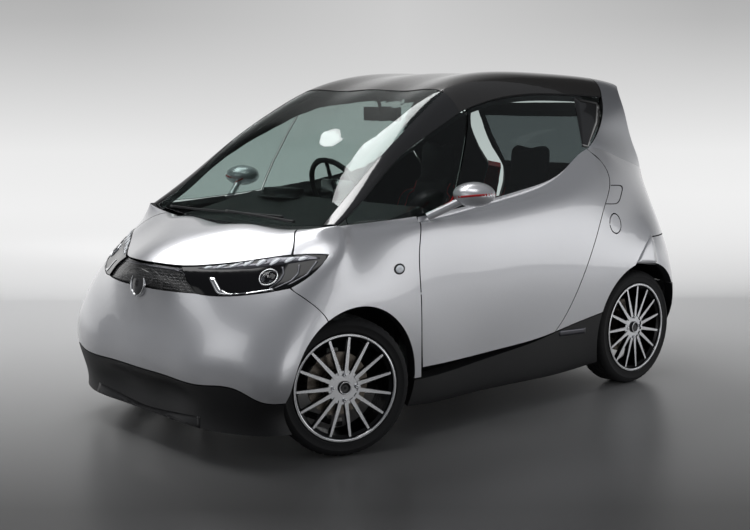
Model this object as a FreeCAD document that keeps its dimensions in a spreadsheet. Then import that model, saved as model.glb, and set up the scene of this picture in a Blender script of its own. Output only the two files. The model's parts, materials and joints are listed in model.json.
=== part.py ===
import FreeCAD, Part
import Sketcher
import math
import os

# Microcar, drawn in millimetres.
# +X is forward, +Y is the car's left, +Z is up, the origin is on the ground below the middle.

Vector = FreeCAD.Vector
doc = FreeCAD.newDocument("Microcar")
sheet = doc.addObject("Spreadsheet::Sheet", "Sizes")

DRIVING_SIZES = [
    ("front_overhang", 525, "front axle to nose"),
    ("wheelbase", 1790, "front axle to rear axle"),
    ("rear_overhang", 375, "rear axle to tail"),
    ("width", 1480, "over the wheel arches"),
    ("height", 1480, "ground to roof"),
    ("belt", 905, "ground to the belt line at the front of the door"),
    ("tyre_radius", 272, "outside of the tyre"),
    ("tyre_width", 155, "widest part of the tyre"),
    ("rim_radius", 210, "outside of the rim lip"),
    ("rim_face", 700, "middle of the car to the outer face of the rim"),
    ("arch_gap", 46, "tyre to wheel arch"),
    ("steer_turn", -18.7, "turn of the front wheels as parked"),
    ("seam", 6, "gap between body panels"),
    ("front_wall", 40, "thickness of the front body panels"),
    ("door_wall", 70, "thickness of a door and of the rear quarters"),
    ("roof_wall", 40, "thickness of the roof and its pillars"),
    ("glass", 5, "thickness of the glass"),
    ("lug_circle", 100, "pitch circle of the wheel bolts"),
    ("lug_hole", 13, "diameter of a wheel bolt hole"),
    ("hub_bore", 54, "centre bore of the wheel"),
    ("spokes", 15, "spokes in one wheel"),
    ("disc_radius", 125, "brake disc"),
    ("disc_thickness", 10, "brake disc"),
    ("kingpin_inset", 92, "rim face to the steering pivot"),
    ("floor_height", 165, "ground to the underside of the floor"),
    ("floor_wall", 40, "thickness of the floor"),
    ("seat_width", 470, "one seat"),
    ("seat_spacing", 620, "middle to middle of the two seats"),
    ("wheel_ring", 175, "radius of the steering wheel rim"),
    ("flap_radius", 45, "round filler flap"),
]
for row, (alias, value, note) in enumerate(DRIVING_SIZES, 1):
    sheet.set("A%d" % row, note)
    sheet.set("B%d" % row, str(value))
    sheet.setAlias("B%d" % row, alias)
DERIVED_SIZES = [
    ("nose_x", "=(front_overhang + wheelbase + rear_overhang) / 2"),
    ("front_axle_x", "=nose_x - front_overhang"),
    ("rear_axle_x", "=front_axle_x - wheelbase"),
    ("kingpin_y", "=rim_face - kingpin_inset"),
    ("arch_radius", "=tyre_radius + arch_gap"),
    ("tyre_y", "=rim_face - tyre_width / 2 + 7"),
]
for row, (alias, formula) in enumerate(DERIVED_SIZES, len(DRIVING_SIZES) + 1):
    sheet.set("A%d" % row, alias.replace("_", " "))
    sheet.set("B%d" % row, formula)
    sheet.setAlias("B%d" % row, alias)
doc.recompute()


def number(formula):
    return float(sheet.evalExpression(str(formula)))


NODES = {}


def node(obj, label):
    """Keep one finished object as a sub-part."""
    obj.Label = label
    NODES[label] = obj
    return obj


def shape_node(label, shape):
    """A sub-part whose shape is worked out with surface functions."""
    obj = doc.addObject("Part::Feature", label)
    obj.Shape = shape
    return node(obj, label)


# The body is drawn for a reference car. These lengths belong to that drawing only,
# and drawn() stretches every drawn point to the driving sizes above.
DRAWN_FRONT = 525
DRAWN_BASE = 1790
DRAWN_REAR = 375
DRAWN_HALF = 740
DRAWN_BELT = 905
DRAWN_TOP = 1480
DRAWN_AXLE = 820
front_axle_x = number("front_axle_x")
rear_axle_x = number("rear_axle_x")
half_width = number("width") / 2
belt = number("belt")
height = number("height")


def drawn_x(x):
    if x > DRAWN_AXLE:
        return front_axle_x + (x - DRAWN_AXLE) * number("front_overhang") / DRAWN_FRONT
    if x > DRAWN_AXLE - DRAWN_BASE:
        return front_axle_x + (x - DRAWN_AXLE) * number("wheelbase") / DRAWN_BASE
    return rear_axle_x + (x - DRAWN_AXLE + DRAWN_BASE) * number("rear_overhang") / DRAWN_REAR


def drawn_y(y):
    return y * half_width / DRAWN_HALF


def drawn_z(z):
    if z < DRAWN_BELT:
        return z * belt / DRAWN_BELT
    return belt + (z - DRAWN_BELT) * (height - belt) / (DRAWN_TOP - DRAWN_BELT)


def drawn(x, y, z):
    return Vector(drawn_x(x), drawn_y(y), drawn_z(z))


def mirrored(shape):
    return shape.mirror(Vector(0, 0, 0), Vector(0, 1, 0))


def smooth_surface(rows):
    surface = Part.BSplineSurface()
    surface.interpolate(rows)
    return surface


def fitted(rows):
    """A surface whose net is stretched fore and aft until it ends at the nose and at the tail."""
    surface = smooth_surface(rows)
    reach = [surface.value(i / 160, j / 40).x for i in range(161) for j in range(41)]
    ahead = number("nose_x") / max(reach)
    behind = -number("nose_x") / min(reach)
    return smooth_surface([[Vector(p.x * (ahead if p.x > 0 else behind), p.y, p.z) for p in row]
                           for row in rows])


def located(surface, x=None, y=None, z=None, guess=0):
    """Parameters of the surface point that has the given coordinates.

    A coordinate left out is found by stepping between the guess and the surface."""
    known = (x, y, z)
    point = Vector(*[guess if value is None else value for value in known])
    for step in range(8):
        u, v = surface.parameter(point)
        hit = surface.value(u, v)
        if None not in known:
            break
        point = Vector(*[found if value is None else value for value, found in zip(known, hit)])
    return u, v


def curve_points(knots, count):
    """Even points along a smooth curve through 2D or 3D knots."""
    places = [Vector(*knot) for knot in knots]
    if len(places) == 2:
        line = Part.LineSegment(places[0], places[1])
        return line.discretize(count)
    curve = Part.BSplineCurve()
    curve.interpolate(places)
    return curve.discretize(count)


def side_curve(surface, knots, count, guess):
    """Surface parameters along a curve drawn in the side view."""
    points = curve_points([(drawn_x(x), drawn_z(z), 0) for x, z in knots], count)
    return [located(surface, x=p.x, z=p.y, guess=guess) for p in points]


def space_curve(surface, knots, count):
    """Surface parameters along a curve drawn in space near the surface."""
    return [located(surface, p.x, p.y, p.z) for p in curve_points([drawn(*knot) for knot in knots], count)]


def straight(start, end, count):
    return [(start[0] + (end[0] - start[0]) * i / (count - 1), start[1] + (end[1] - start[1]) * i / (count - 1))
            for i in range(count)]


def spaced(surface, line, count):
    """A line of surface parameters, divided again into even lengths."""
    places = [surface.value(u, v) for u, v in line]
    run = [0]
    for a, b in zip(places, places[1:]):
        run.append(run[-1] + (b - a).Length)
    result = [line[0]]
    k = 0
    for i in range(1, count - 1):
        want = run[-1] * i / (count - 1)
        while run[k + 1] < want:
            k += 1
        share = (want - run[k]) / (run[k + 1] - run[k])
        result.append(tuple(line[k][c] + (line[k + 1][c] - line[k][c]) * share for c in (0, 1)))
    return result + [line[-1]]


def pinned(line, first=None, last=None):
    """The same line of surface parameters, eased over to begin and end at the given ones."""
    shift = [tuple(a - b for a, b in zip(wanted or found, found)) for wanted, found in ((first, line[0]), (last, line[-1]))]
    count = len(line) - 1
    return [tuple(place[c] + shift[0][c] * (1 - i / count) + shift[1][c] * i / count for c in (0, 1))
            for i, place in enumerate(line)]


def trimmed(surface, line, start, end):
    """A line of surface parameters, shortened by a length at each end."""
    places = [surface.value(u, v) for u, v in line]
    run = [0]
    for a, b in zip(places, places[1:]):
        run.append(run[-1] + (b - a).Length)
    total = run[-1]
    result = []
    for reach in run:
        want = start + (total - start - end) * reach / total
        spans = [i for i in range(len(run) - 1) if run[i + 1] - run[i] > 0.001]
        k = max([i for i in spans if run[i] <= want] or spans[:1])
        share = (want - run[k]) / (run[k + 1] - run[k])
        result.append(tuple(line[k][c] + (line[k + 1][c] - line[k][c]) * share for c in (0, 1)))
    return result


SPINE_END = number("nose_x") * 0.63
SPINE_HEIGHT = number("belt") * 0.55
CLOSE = 0.35
MOST_ROWS = 49
MOST_COLUMNS = 25


def inside(point, depth):
    """The point a depth below the skin, on the way to the spine along the middle of the car."""
    spine = Vector(max(-SPINE_END, min(SPINE_END, point.x)), 0, SPINE_HEIGHT)
    return point + (spine - point).normalize() * depth


def patch(surface, bottom, top, wall, trims=(1, 1, 1, 1), shut=(0, 0, 0, 0), taper=(0, 0, 0, 0), near=0,
          sides=None, meet=None):
    """A piece of wall between two lines of surface parameters.

    trims says which edges stand back by half a seam: bottom, top, start, end.
    shut says where the inside of the wall comes up to its fixed neighbour.
    taper is how much further each edge stands back on the inside of the wall.
    meet holds points that the start side is drawn to."""
    half = number("seam") / 2
    rows = min(max(len(bottom), len(top)), MOST_ROWS)
    start_side, end_side = sides or (straight(bottom[0], top[0], MOST_COLUMNS),
                                     straight(bottom[-1], top[-1], MOST_COLUMNS))
    columns = min(max(len(start_side), len(end_side)), MOST_COLUMNS)
    bottom = spaced(surface, bottom, rows)
    top = spaced(surface, top, rows)
    start_side = spaced(surface, start_side, columns)
    end_side = spaced(surface, end_side, columns)
    net = []
    for i in range(rows):
        s = i / (rows - 1)
        line = []
        for j in range(columns):
            k = j / (columns - 1)
            place = [(1 - k) * bottom[i][c] + k * top[i][c]
                     + (1 - s) * start_side[j][c] + s * end_side[j][c]
                     - (1 - s) * (1 - k) * bottom[0][c] - s * (1 - k) * bottom[-1][c]
                     - (1 - s) * k * top[0][c] - s * k * top[-1][c] for c in (0, 1)]
            line.append(tuple(min(1, max(0, value)) for value in place))
        net.append(line)
    drift = [Vector(0, 0, 0)] * columns
    if meet:
        drift = [wanted - surface.value(*place) for wanted, place in zip(meet, net[0])]
    nets = []
    for depth, back in ((near, (0, 0, 0, 0)), (near + wall, taper)):
        edge = [half * trim + more for trim, more in zip(trims, back)]
        if depth > near:
            edge = [CLOSE if closed else reach for closed, reach in zip(shut, edge)]
        lines = [trimmed(surface, line, edge[0], edge[1]) for line in net]
        turned = [trimmed(surface, list(line), edge[2], edge[3]) for line in zip(*lines)]
        rows_of_points = []
        for i, line in enumerate(zip(*turned)):
            fade = max(0, 1 - 2 * i / (rows - 1)) ** 2
            rows_of_points.append([inside(surface.value(u, v) + move * fade, depth)
                                   for (u, v), move in zip(line, drift)])
        nets.append(rows_of_points)
    return thick(*nets)


def thick(outer_net, inner_net):
    """A closed solid between two nets of points."""
    outer = smooth_surface(outer_net)
    inner = smooth_surface(inner_net)
    faces = [outer.toShape(), inner.toShape()]
    u0, u1, v0, v1 = outer.bounds()
    a0, a1, b0, b1 = inner.bounds()
    edges = [(outer.uIso(u0), inner.uIso(a0)), (outer.uIso(u1), inner.uIso(a1)),
             (outer.vIso(v0), inner.vIso(b0)), (outer.vIso(v1), inner.vIso(b1))]
    for first, second in edges:
        faces.append(Part.makeRuledSurface(first.toShape(), second.toShape(), 1))
    shell = Part.Shell(faces)
    shell.sewShape()
    solid = Part.Solid(shell)
    if solid.Volume < 0:
        solid.reverse()
    return solid


# Lower body: ribs that run up the body side, from the bottom edge to the belt line.
# Each rib has its points at seven levels, and the ribs go round from nose to tail.
LEVELS = 7
RIBS = [
    # nose
    ((1330, 0, 140), (1345, 0, 300), (1345, 0, 470), (1340, 0, 630), (1318, 0, 742), (1150, 0, 828), (909, 0, 849)),
    ((1328, 200, 140), (1344, 205, 300), (1342, 205, 470), (1322, 205, 635),
     (1262, 200, 738), (1090, 190, 834), (907, 180, 852)),
    ((1318, 430, 140), (1340, 440, 300), (1326, 440, 470), (1235, 450, 635),
     (1112, 430, 764), (1010, 380, 838), (901, 330, 858)),
    ((1240, 610, 140), (1284, 600, 300), (1268, 605, 470), (1150, 600, 650),
     (1010, 570, 792), (950, 520, 848), (890, 480, 868)),
    # front wheel arch
    ((1130, 690, 140), (1200, 702, 300), (1165, 712, 470), (1045, 692, 670),
     (927, 688, 790), (895, 658, 850), (875, 639, 890)),
    ((820, 695, 140), (820, 720, 300), (820, 736, 470), (820, 734, 640),
     (800, 694, 803), (790, 668, 860), (780, 648, 893)),
    ((620, 690, 140), (620, 712, 300), (620, 727, 470), (620, 722, 640),
     (620, 697, 822), (615, 676, 870), (610, 656, 898)),
    # door
    ((440, 688, 140), (440, 715, 300), (440, 720, 470), (440, 716, 640),
     (440, 700, 843), (440, 682, 880), (440, 662, 906)),
    ((120, 686, 140), (120, 714, 300), (120, 723, 470), (120, 723, 640),
     (120, 706, 850), (120, 684, 900), (120, 660, 935)),
    ((-200, 686, 140), (-200, 714, 300), (-200, 724, 470), (-200, 726, 640),
     (-200, 706, 870), (-200, 680, 930), (-200, 652, 977)),
    ((-480, 688, 140), (-480, 718, 300), (-480, 728, 470), (-480, 728, 640),
     (-480, 702, 890), (-480, 668, 980), (-480, 633, 1038)),
    # rear wheel arch
    ((-720, 692, 140), (-720, 722, 300), (-720, 734, 470), (-720, 732, 640),
     (-720, 694, 880), (-715, 648, 1030), (-705, 604, 1130)),
    ((-970, 694, 140), (-970, 726, 300), (-970, 739, 470), (-970, 735, 640),
     (-970, 680, 820), (-965, 638, 950), (-960, 584, 1080)),
    ((-1180, 690, 140), (-1195, 718, 300), (-1195, 730, 470), (-1175, 712, 640),
     (-1180, 640, 800), (-1185, 580, 910), (-1190, 530, 1025)),
    # tail
    ((-1290, 600, 140), (-1308, 650, 300), (-1305, 660, 470), (-1290, 620, 640),
     (-1290, 550, 800), (-1285, 505, 900), (-1285, 470, 1000)),
    ((-1325, 300, 140), (-1342, 320, 300), (-1342, 320, 470), (-1335, 300, 640),
     (-1330, 280, 800), (-1320, 260, 900), (-1300, 240, 995)),
    ((-1330, 0, 140), (-1345, 0, 300), (-1345, 0, 470), (-1342, 0, 640),
     (-1336, 0, 800), (-1326, 0, 900), (-1306, 0, 995)),
]


def rib(points, side):
    return [drawn(x, side * y, z) for x, y, z in points]


# The net goes once round the car. It starts on the right side, which is mirrored later,
# so that nose, left side and tail are one unbroken surface.
RIGHT_START = 8
RIGHT_END = 12
body_net = [rib(points, -1) for points in reversed(RIBS[1:RIGHT_START + 1])]
body_net += [rib(points, 1) for points in RIBS]
body_net += [rib(points, -1) for points in reversed(RIBS[RIGHT_END:-1])]
body = fitted(body_net)

# Upper body: hoops across the car from belt line to belt line over the roof.
# Each hoop: x, height in the middle, edge of the roof (y, z), top of the side glass (y, z),
# middle of the side (y, z), belt line (y, z) and a point below it (y, z).
HOOPS = [
    (960, 812, (480, 826), (590, 838), (640, 842), (664, 838), (668, 820)),
    (875, 876, (520, 884), (610, 888), (646, 880), (664, 862), (668, 835)),
    (700, 1006, (555, 1010), (612, 1000), (646, 950), (662, 900), (672, 870)),
    (500, 1168, (550, 1160), (600, 1120), (640, 1010), (664, 908), (676, 870)),
    (300, 1302, (522, 1284), (585, 1222), (634, 1070), (662, 918), (676, 880)),
    (100, 1402, (494, 1382), (562, 1305), (626, 1120), (661, 938), (676, 900)),
    (-120, 1462, (468, 1438), (545, 1358), (615, 1160), (655, 966), (672, 925)),
    (-350, 1480, (455, 1456), (532, 1380), (604, 1190), (643, 1004), (664, 955)),
    (-580, 1476, (450, 1453), (525, 1380), (592, 1220), (624, 1072), (650, 1010)),
    (-800, 1462, (448, 1444), (518, 1372), (568, 1250), (596, 1150), (640, 1020)),
    (-980, 1446, (446, 1432), (508, 1362), (545, 1250), (565, 1140), (610, 1000)),
    (-1130, 1426, (440, 1412), (492, 1345), (520, 1240), (538, 1120), (572, 960)),
    (-1300, 1390, (425, 1376), (465, 1315), (482, 1220), (494, 1100), (515, 940)),
]


def hoop(x, top, *side):
    half = [drawn(x, 0, top)]
    edge_y, edge_z = side[0]
    crown = (top - edge_z) * 0.25
    half.append(drawn(x, edge_y / 2, top - crown))
    half += [drawn(x, y, z) for y, z in side]
    return [Vector(p.x, -p.y, p.z) for p in reversed(half[1:])] + half


canopy = smooth_surface([hoop(*values) for values in HOOPS])

# Tailgate surface: from below the spoiler down to the rear bumper.
TAILGATE_LINE = [(-1078, 1352), (-1098, 1290), (-1140, 1203), (-1208, 1100), (-1270, 1010),
                 (-1303, 930), (-1316, 840), (-1316, 740), (-1310, 620)]
TAILGATE_CROWN = 26
tailgate_net = []
for share in (-1.05, -0.8, -0.5, -0.2, 0, 0.2, 0.5, 0.8, 1.05):
    bulge = TAILGATE_CROWN * (1 - share * share)
    tailgate_net.append([drawn(x - bulge, share * 500, z) for x, z in TAILGATE_LINE])
tail_face = smooth_surface(tailgate_net)

ACROSS = Vector(0, -1, 0)
front_wall = number("front_wall")
door_wall = number("door_wall")
roof_wall = number("roof_wall")
glass = number("glass")
seam = number("seam")
arch_radius = number("arch_radius")
tyre_radius = number("tyre_radius")
FINE = 61
SHORT = 25
SIDE_GUESS = half_width


def top_edge(surface, start, end, count):
    """The upper edge of the body surface between two drawn points."""
    first = located(surface, *drawn(*start))[0]
    last = located(surface, *drawn(*end))[0]
    return straight((first, 1), (last, 1), count)


def low_edge(surface, start, end, count):
    first = located(surface, *drawn(*start))[0]
    last = located(surface, *drawn(*end))[0]
    return straight((first, 0), (last, 0), count)


def both_sides(knots):
    """A curve across the car, from its left half."""
    return knots + [(x, -y, z) for x, y, z in reversed(knots[:-1])]


def arch_cut(shape, *arches):
    for x, side in arches:
        tool = Part.makeCylinder(arch_radius, 420, Vector(x, side * (half_width + 60), tyre_radius),
                                 Vector(0, -side, 0))
        shape = shape.cut(tool)
        if shape.isNull():
            raise ValueError("a wheel arch cut left nothing")
    return max(shape.Solids, key=lambda solid: solid.Volume)


def across(shape):
    return shape.mirror(Vector(0, 0, 0), Vector(0, 1, 0))


FRONT = (front_axle_x, 1)
FRONT_FAR = (front_axle_x, -1)
REAR = (rear_axle_x, 1)
REAR_FAR = (rear_axle_x, -1)

# Seams of the body, drawn in the side view from the bottom up.
DOOR_FRONT = [(462, 296), (471, 411), (474, 600), (470, 792), (458, 842), (445, 907)]
DOOR_REAR = [(-350, 334), (-390, 371), (-490, 508), (-630, 744), (-717, 870), (-778, 935), (-802, 985),
             (-792, 1030), (-750, 1080), (-692, 1124)]
DOOR_FOOT = [(462, 296), (240, 298), (16, 306), (-200, 316), (-350, 334)]
door_front = side_curve(body, DOOR_FRONT, FINE, SIDE_GUESS)
door_rear = side_curve(body, DOOR_REAR, FINE, SIDE_GUESS)
door_foot = side_curve(body, DOOR_FOOT, FINE, SIDE_GUESS)
door_top = straight(door_front[-1], door_rear[-1], FINE)
door_top = [(u, 1) for u, v in door_top]
door_front = pinned(door_front, None, door_top[0])
door_rear = pinned(door_rear, None, door_top[-1])
door = patch(body, door_foot, door_top, door_wall, sides=(door_front, door_rear), taper=(4, 0, 4, 14))
# The sharp upper corner of the door is cut straight along the seam.
corner = body.value(*door_rear[-1])
below = body.value(*door_rear[-6])
along = (corner - below).normalize()
outward = corner - inside(corner, 1)
past_seam = along.cross(outward).normalize()
CORNER_TOOL = (150, 200, 40)
corner_tool = Part.makeBox(*CORNER_TOOL)
corner_tool.Placement = FreeCAD.Placement(below - past_seam * seam / 2 - outward * CORNER_TOOL[1] * 0.7,
                                          FreeCAD.Rotation(along, outward, past_seam, "XZY"))
door = max(door.cut(corner_tool).Solids, key=lambda solid: solid.Volume)

# The seam between bumper and wing, then the one between bonnet and wing.
WING_LOW = [(900, 735, 256), (945, 735, 470), (975, 733, 566), (1032, 712, 628), (1086, 656, 688)]
WING_HIGH = [(1086, 656, 688), (1070, 615, 755), (1020, 575, 806), (953, 500, 880)]
wing_low = space_curve(body, WING_LOW, SHORT)
wing_high = space_curve(body, WING_HIGH, SHORT)
sill_ahead = side_curve(body, [(900, 256), (700, 256), (464, 256)], FINE, SIDE_GUESS)
fender_rear = side_curve(body, [(464, 256)] + DOOR_FRONT[1:], FINE, SIDE_GUESS)
fender_top = top_edge(body, (953, 500, 880), (445, 662, 907), FINE)
sill_ahead = pinned(sill_ahead, wing_low[0])
fender_nose = wing_low + pinned(wing_high, wing_low[-1], fender_top[0])[1:]
fender_rear = pinned(fender_rear, sill_ahead[-1], fender_top[-1])
fender = patch(body, sill_ahead, fender_top, front_wall, sides=(fender_nose, fender_rear), trims=(1, 0.5, 1, 1),
               shut=(1, 0, 1, 0))

# Headlamp, between the bumper, the bonnet and the front wing.
LAMP_INNER = [(1290, 330, 650), (1278, 265, 692), (1262, 205, 735)]
LAMP_LOW = [(945, 691, 774), (1010, 678, 720), (1086, 656, 688)]
LAMP_FOOT = [(1086, 656, 688), (1160, 560, 660), (1235, 420, 640), (1290, 330, 650)]
LAMP_TOP = [(925, 686, 796), (1010, 585, 802), (1112, 430, 764), (1200, 310, 746), (1262, 205, 735)]
lamp_foot = space_curve(body, LAMP_FOOT, SHORT)
lamp_low = space_curve(body, LAMP_LOW, SHORT) + lamp_foot[1:]
lamp_top = space_curve(body, LAMP_TOP, FINE)
lamp_inner = space_curve(body, LAMP_INNER, SHORT)
lamp_inner = pinned(lamp_inner, lamp_low[-1], lamp_top[-1])
lamp_outer = straight(lamp_low[0], lamp_top[0], SHORT)
lamp = patch(body, lamp_low, lamp_top, front_wall, sides=(lamp_outer, lamp_inner), shut=(1, 0, 0, 1))
lamp_tool = patch(body, lamp_low, lamp_top, front_wall + 40, trims=(-1, -1, -1, -1), near=-20,
                  sides=(lamp_outer, lamp_inner))

fender = arch_cut(fender.cut(lamp_tool), FRONT)

VALANCE_LINE = both_sides([(900, 735, 256), (1080, 722, 256), (1213, 690, 252), (1262, 632, 296), (1295, 585, 318),
                           (1338, 440, 315), (1345, 200, 312), (1345, 0, 311)])


def far(line):
    """The same surface parameters on the right of the car."""
    found = []
    for place in line:
        point = body.value(*place)
        found.append(located(body, point.x, -point.y, point.z))
    return found


GRILLE_LOW = [(1290, 330, 650), (1322, 200, 642), (1336, 90, 640), (1340, 0, 640)]
GRILLE_TOP = [(1262, 205, 735), (1300, 100, 740), (1318, 0, 742)]
grille_low = space_curve(body, both_sides(GRILLE_LOW), 2 * FINE - 1)
grille_top = space_curve(body, both_sides(GRILLE_TOP), 2 * FINE - 1)
grille_low = pinned(grille_low, lamp_foot[-1], far(lamp_foot[-1:])[0])
grille_top = pinned(grille_top, lamp_top[-1], far(lamp_top[-1:])[0])
bumper_low = space_curve(body, VALANCE_LINE, 2 * FINE - 1)
bumper_top = lamp_foot[:-1] + grille_low + far(lamp_foot[-2::-1])
bumper_side = wing_low
bumper_far = far(wing_low)
bumper_low = pinned(bumper_low, bumper_side[0], bumper_far[0])
fascia = patch(body, bumper_low, bumper_top, front_wall, sides=(bumper_side, bumper_far), shut=(1, 1, 1, 1))
fascia = arch_cut(fascia, FRONT, FRONT_FAR)
GRILLE_DEPTH = 10
grille = patch(body, grille_low, grille_top, front_wall - GRILLE_DEPTH, near=GRILLE_DEPTH,
               sides=(lamp_inner, far(lamp_inner)), shut=(1, 0, 1, 1))

BONNET_EDGE = both_sides([(1020, 578, 806), (1112, 430, 768), (1200, 305, 750), (1262, 200, 741), (1300, 100, 744),
                          (1316, 0, 746)])
bonnet_low = space_curve(body, BONNET_EDGE, 2 * FINE - 1)
bonnet_top = top_edge(body, (953, 500, 880), (953, -500, 880), 2 * FINE - 1)
bonnet = patch(body, bonnet_low, bonnet_top, front_wall * 0.6, taper=(4, 0, 4, 4))

valance_low = low_edge(body, (1080, 700, 140), (1080, -700, 140), 2 * FINE - 1)
valance = patch(body, valance_low, bumper_low, front_wall, trims=(0, 1, 1, 1), shut=(0, 1, 0, 0))
valance = arch_cut(valance, FRONT, FRONT_FAR)



def arch_line(axle_x, ahead, low, high, count):
    """Surface parameters along the edge of a wheel arch, from a low point to a high one."""
    line = []
    for i in range(count):
        z = low + (high - low) * i / (count - 1)
        reach = math.sqrt(arch_radius ** 2 - (z - tyre_radius) ** 2)
        line.append(located(body, x=axle_x + ahead * reach, z=z, guess=SIDE_GUESS))
    return line


sill_front = arch_line(front_axle_x, -1, drawn_z(146), drawn_z(254), FINE)
sill_rear = arch_line(rear_axle_x, 1, drawn_z(146), drawn_z(384), FINE)
sill_behind = side_curve(body, [(-350, 334), (-480, 356), (-672, 384)], SHORT, SIDE_GUESS)
door_sill = pinned(door_foot, sill_ahead[-1], sill_behind[0])
sill_top = sill_ahead[:-1] + door_sill + sill_behind[1:]
first = max(k for k, place in enumerate(sill_top) if body.value(*place).x > body.value(*sill_front[-1]).x)
sill_top = pinned(sill_top[first:], sill_front[-1], sill_rear[-1])
sill_low = straight(sill_front[0], sill_rear[0], len(sill_top))
sill = patch(body, sill_low, sill_top, front_wall, trims=(0, 1, 0, 0), shut=(0, 1, 0, 0),
             sides=(sill_front, sill_rear))

LAMP_EDGE = [(-1232, 668, 704), (-1225, 618, 800), (-1222, 565, 900), (-1220, 515, 1015)]
GATE_EDGE = [(-1296, 575, 704), (-1297, 528, 800), (-1290, 496, 900), (-1284, 470, 1000)]
bumper_rise = side_curve(body, [(-1048, 704), (-1140, 704), (-1232, 704)], SHORT, SIDE_GUESS)
over_arch = side_curve(body, [(-672, 384), (-850, 540), (-1048, 704)], SHORT, SIDE_GUESS)
quarter_low = sill_behind + over_arch[1:-1] + bumper_rise
quarter_rear = space_curve(body, LAMP_EDGE, FINE)
quarter_top = [(u, 1) for u, v in straight(door_rear[-1], quarter_rear[-1], len(quarter_low))]
quarter_rear = pinned(quarter_rear, quarter_low[-1], quarter_top[-1])
quarter_front = pinned(door_rear, quarter_low[0])
quarter = patch(body, quarter_low, quarter_top, front_wall, sides=(quarter_front, quarter_rear),
                trims=(1, 0.05, 1, 1), shut=(1, 0, 0, 1))
quarter = arch_cut(quarter, REAR)

gate_edge = space_curve(body, GATE_EDGE, FINE)
gate_foot = space_curve(body, [(-1232, 668, 704), (-1270, 628, 704), (-1296, 575, 704)], SHORT)
gate_foot = pinned(gate_foot, quarter_rear[0])
gate_edge = pinned(gate_edge, gate_foot[-1])
tail_lamp = patch(body, quarter_rear, gate_edge, front_wall, sides=(gate_foot, straight(quarter_rear[-1], gate_edge[-1], SHORT)),
                  shut=(1, 0, 1, 0))

BUMPER_MIDDLE = both_sides([(-1296, 575, 704), (-1325, 400, 704), (-1340, 200, 704), (-1342, 0, 704)])
BUMPER_DARK = both_sides([(-1048, 735, 465), (-1180, 730, 465), (-1260, 705, 460), (-1305, 650, 455),
                          (-1335, 450, 450), (-1345, 200, 450), (-1345, 0, 450)])
rear_middle = space_curve(body, BUMPER_MIDDLE, 2 * FINE - 1)
rear_middle = pinned(rear_middle, gate_foot[-1], far(gate_foot[-1:])[0])
rear_side = bumper_rise + gate_foot[1:-1]
rear_top = rear_side + rear_middle + far(rear_side[::-1])
rear_mid = space_curve(body, BUMPER_DARK, 2 * FINE - 1)
rear_bumper = arch_cut(patch(body, rear_mid, rear_top, front_wall, shut=(1, 1, 0, 0)), REAR, REAR_FAR)
rear_low = low_edge(body, (-1048, 700, 140), (-1048, -700, 140), 2 * FINE - 1)
rear_valance = patch(body, rear_low, rear_mid, front_wall, trims=(0, 1, 1, 1), shut=(0, 1, 0, 0))
rear_valance = arch_cut(rear_valance, REAR, REAR_FAR)

# Tailgate, with its window.
GATE_SIDE = [(-1078, 486, 1340), (-1140, 484, 1203), (-1208, 480, 1100), (-1275, 470, 1000), (-1310, 500, 880),
             (-1316, 530, 790), (-1312, 560, 712)]
gate_left = space_curve(tail_face, [(x, y - 8, z) for x, y, z in GATE_SIDE], FINE)
gate_right = space_curve(tail_face, [(x, 8 - y, z) for x, y, z in GATE_SIDE], FINE)
tailgate = patch(tail_face, gate_left, gate_right, front_wall, taper=(6, 6, 6, 6))
window_left = space_curve(tail_face, [(-1100, 430, 1300), (-1200, 430, 1110), (-1268, 430, 1015)], FINE)
window_right = space_curve(tail_face, [(-1100, -430, 1300), (-1200, -430, 1110), (-1268, -430, 1015)], FINE)
window_tool = patch(tail_face, window_left, window_right, front_wall + 40, trims=(-1, -1, -1, -1), near=-20)
tailgate = tailgate.cut(window_tool).Solids[0]
GLASS_EDGE = -0.9
tailgate_glass = patch(tail_face, window_left, window_right, glass, trims=(GLASS_EDGE,) * 4, near=3)

# Upper body.
COWL = both_sides([(868, 588, 893), (882, 400, 877), (893, 200, 866), (896, 0, 863)])
HEADER = both_sides([(108, 468, 1392), (97, 240, 1402), (93, 0, 1405)])
SCREEN_SIDE = [(868, 588, 893), (700, 556, 1010), (500, 540, 1162), (300, 510, 1288), (108, 468, 1392)]
RAIL_LOW = [(846, 645, 893), (700, 630, 975), (500, 600, 1120), (300, 585, 1222), (100, 562, 1305)]
RAIL_REAR = [(100, 562, 1305), (-120, 545, 1358), (-350, 532, 1380), (-580, 525, 1380), (-800, 518, 1372),
             (-905, 511, 1366)]
GLASS_GAP = -0.6
cowl = space_curve(canopy, COWL, 2 * FINE - 1)
header = space_curve(canopy, HEADER, 2 * FINE - 1)


def far_canopy(line):
    """The same surface parameters of the upper body on the right of the car."""
    found = []
    for place in line:
        point = canopy.value(*place)
        found.append(located(canopy, point.x, -point.y, point.z))
    return found


screen_side = space_curve(canopy, SCREEN_SIDE, FINE)
cowl = pinned(cowl, screen_side[0], far_canopy(screen_side[:1])[0])
header = pinned(header, screen_side[-1], far_canopy(screen_side[-1:])[0])
windscreen = patch(canopy, cowl, header, glass, near=3, sides=(screen_side, far_canopy(screen_side)),
                   trims=(1, 0.1, GLASS_GAP, GLASS_GAP), taper=(0, 0.3, 0.3, 0.3))
rail_low = space_curve(canopy, RAIL_LOW, FINE)
pillar_top = space_curve(canopy, [(108, 468, 1392), (106, 530, 1345), (100, 562, 1305)], SHORT)
pillar_top = pinned(pillar_top, screen_side[-1], rail_low[-1])
pillar = patch(canopy, screen_side, rail_low, roof_wall, shut=(1, 1, 0, 1),
               sides=(straight(screen_side[0], rail_low[0], SHORT), pillar_top), trims=(1, 1, 0.5, 0.1))

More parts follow.
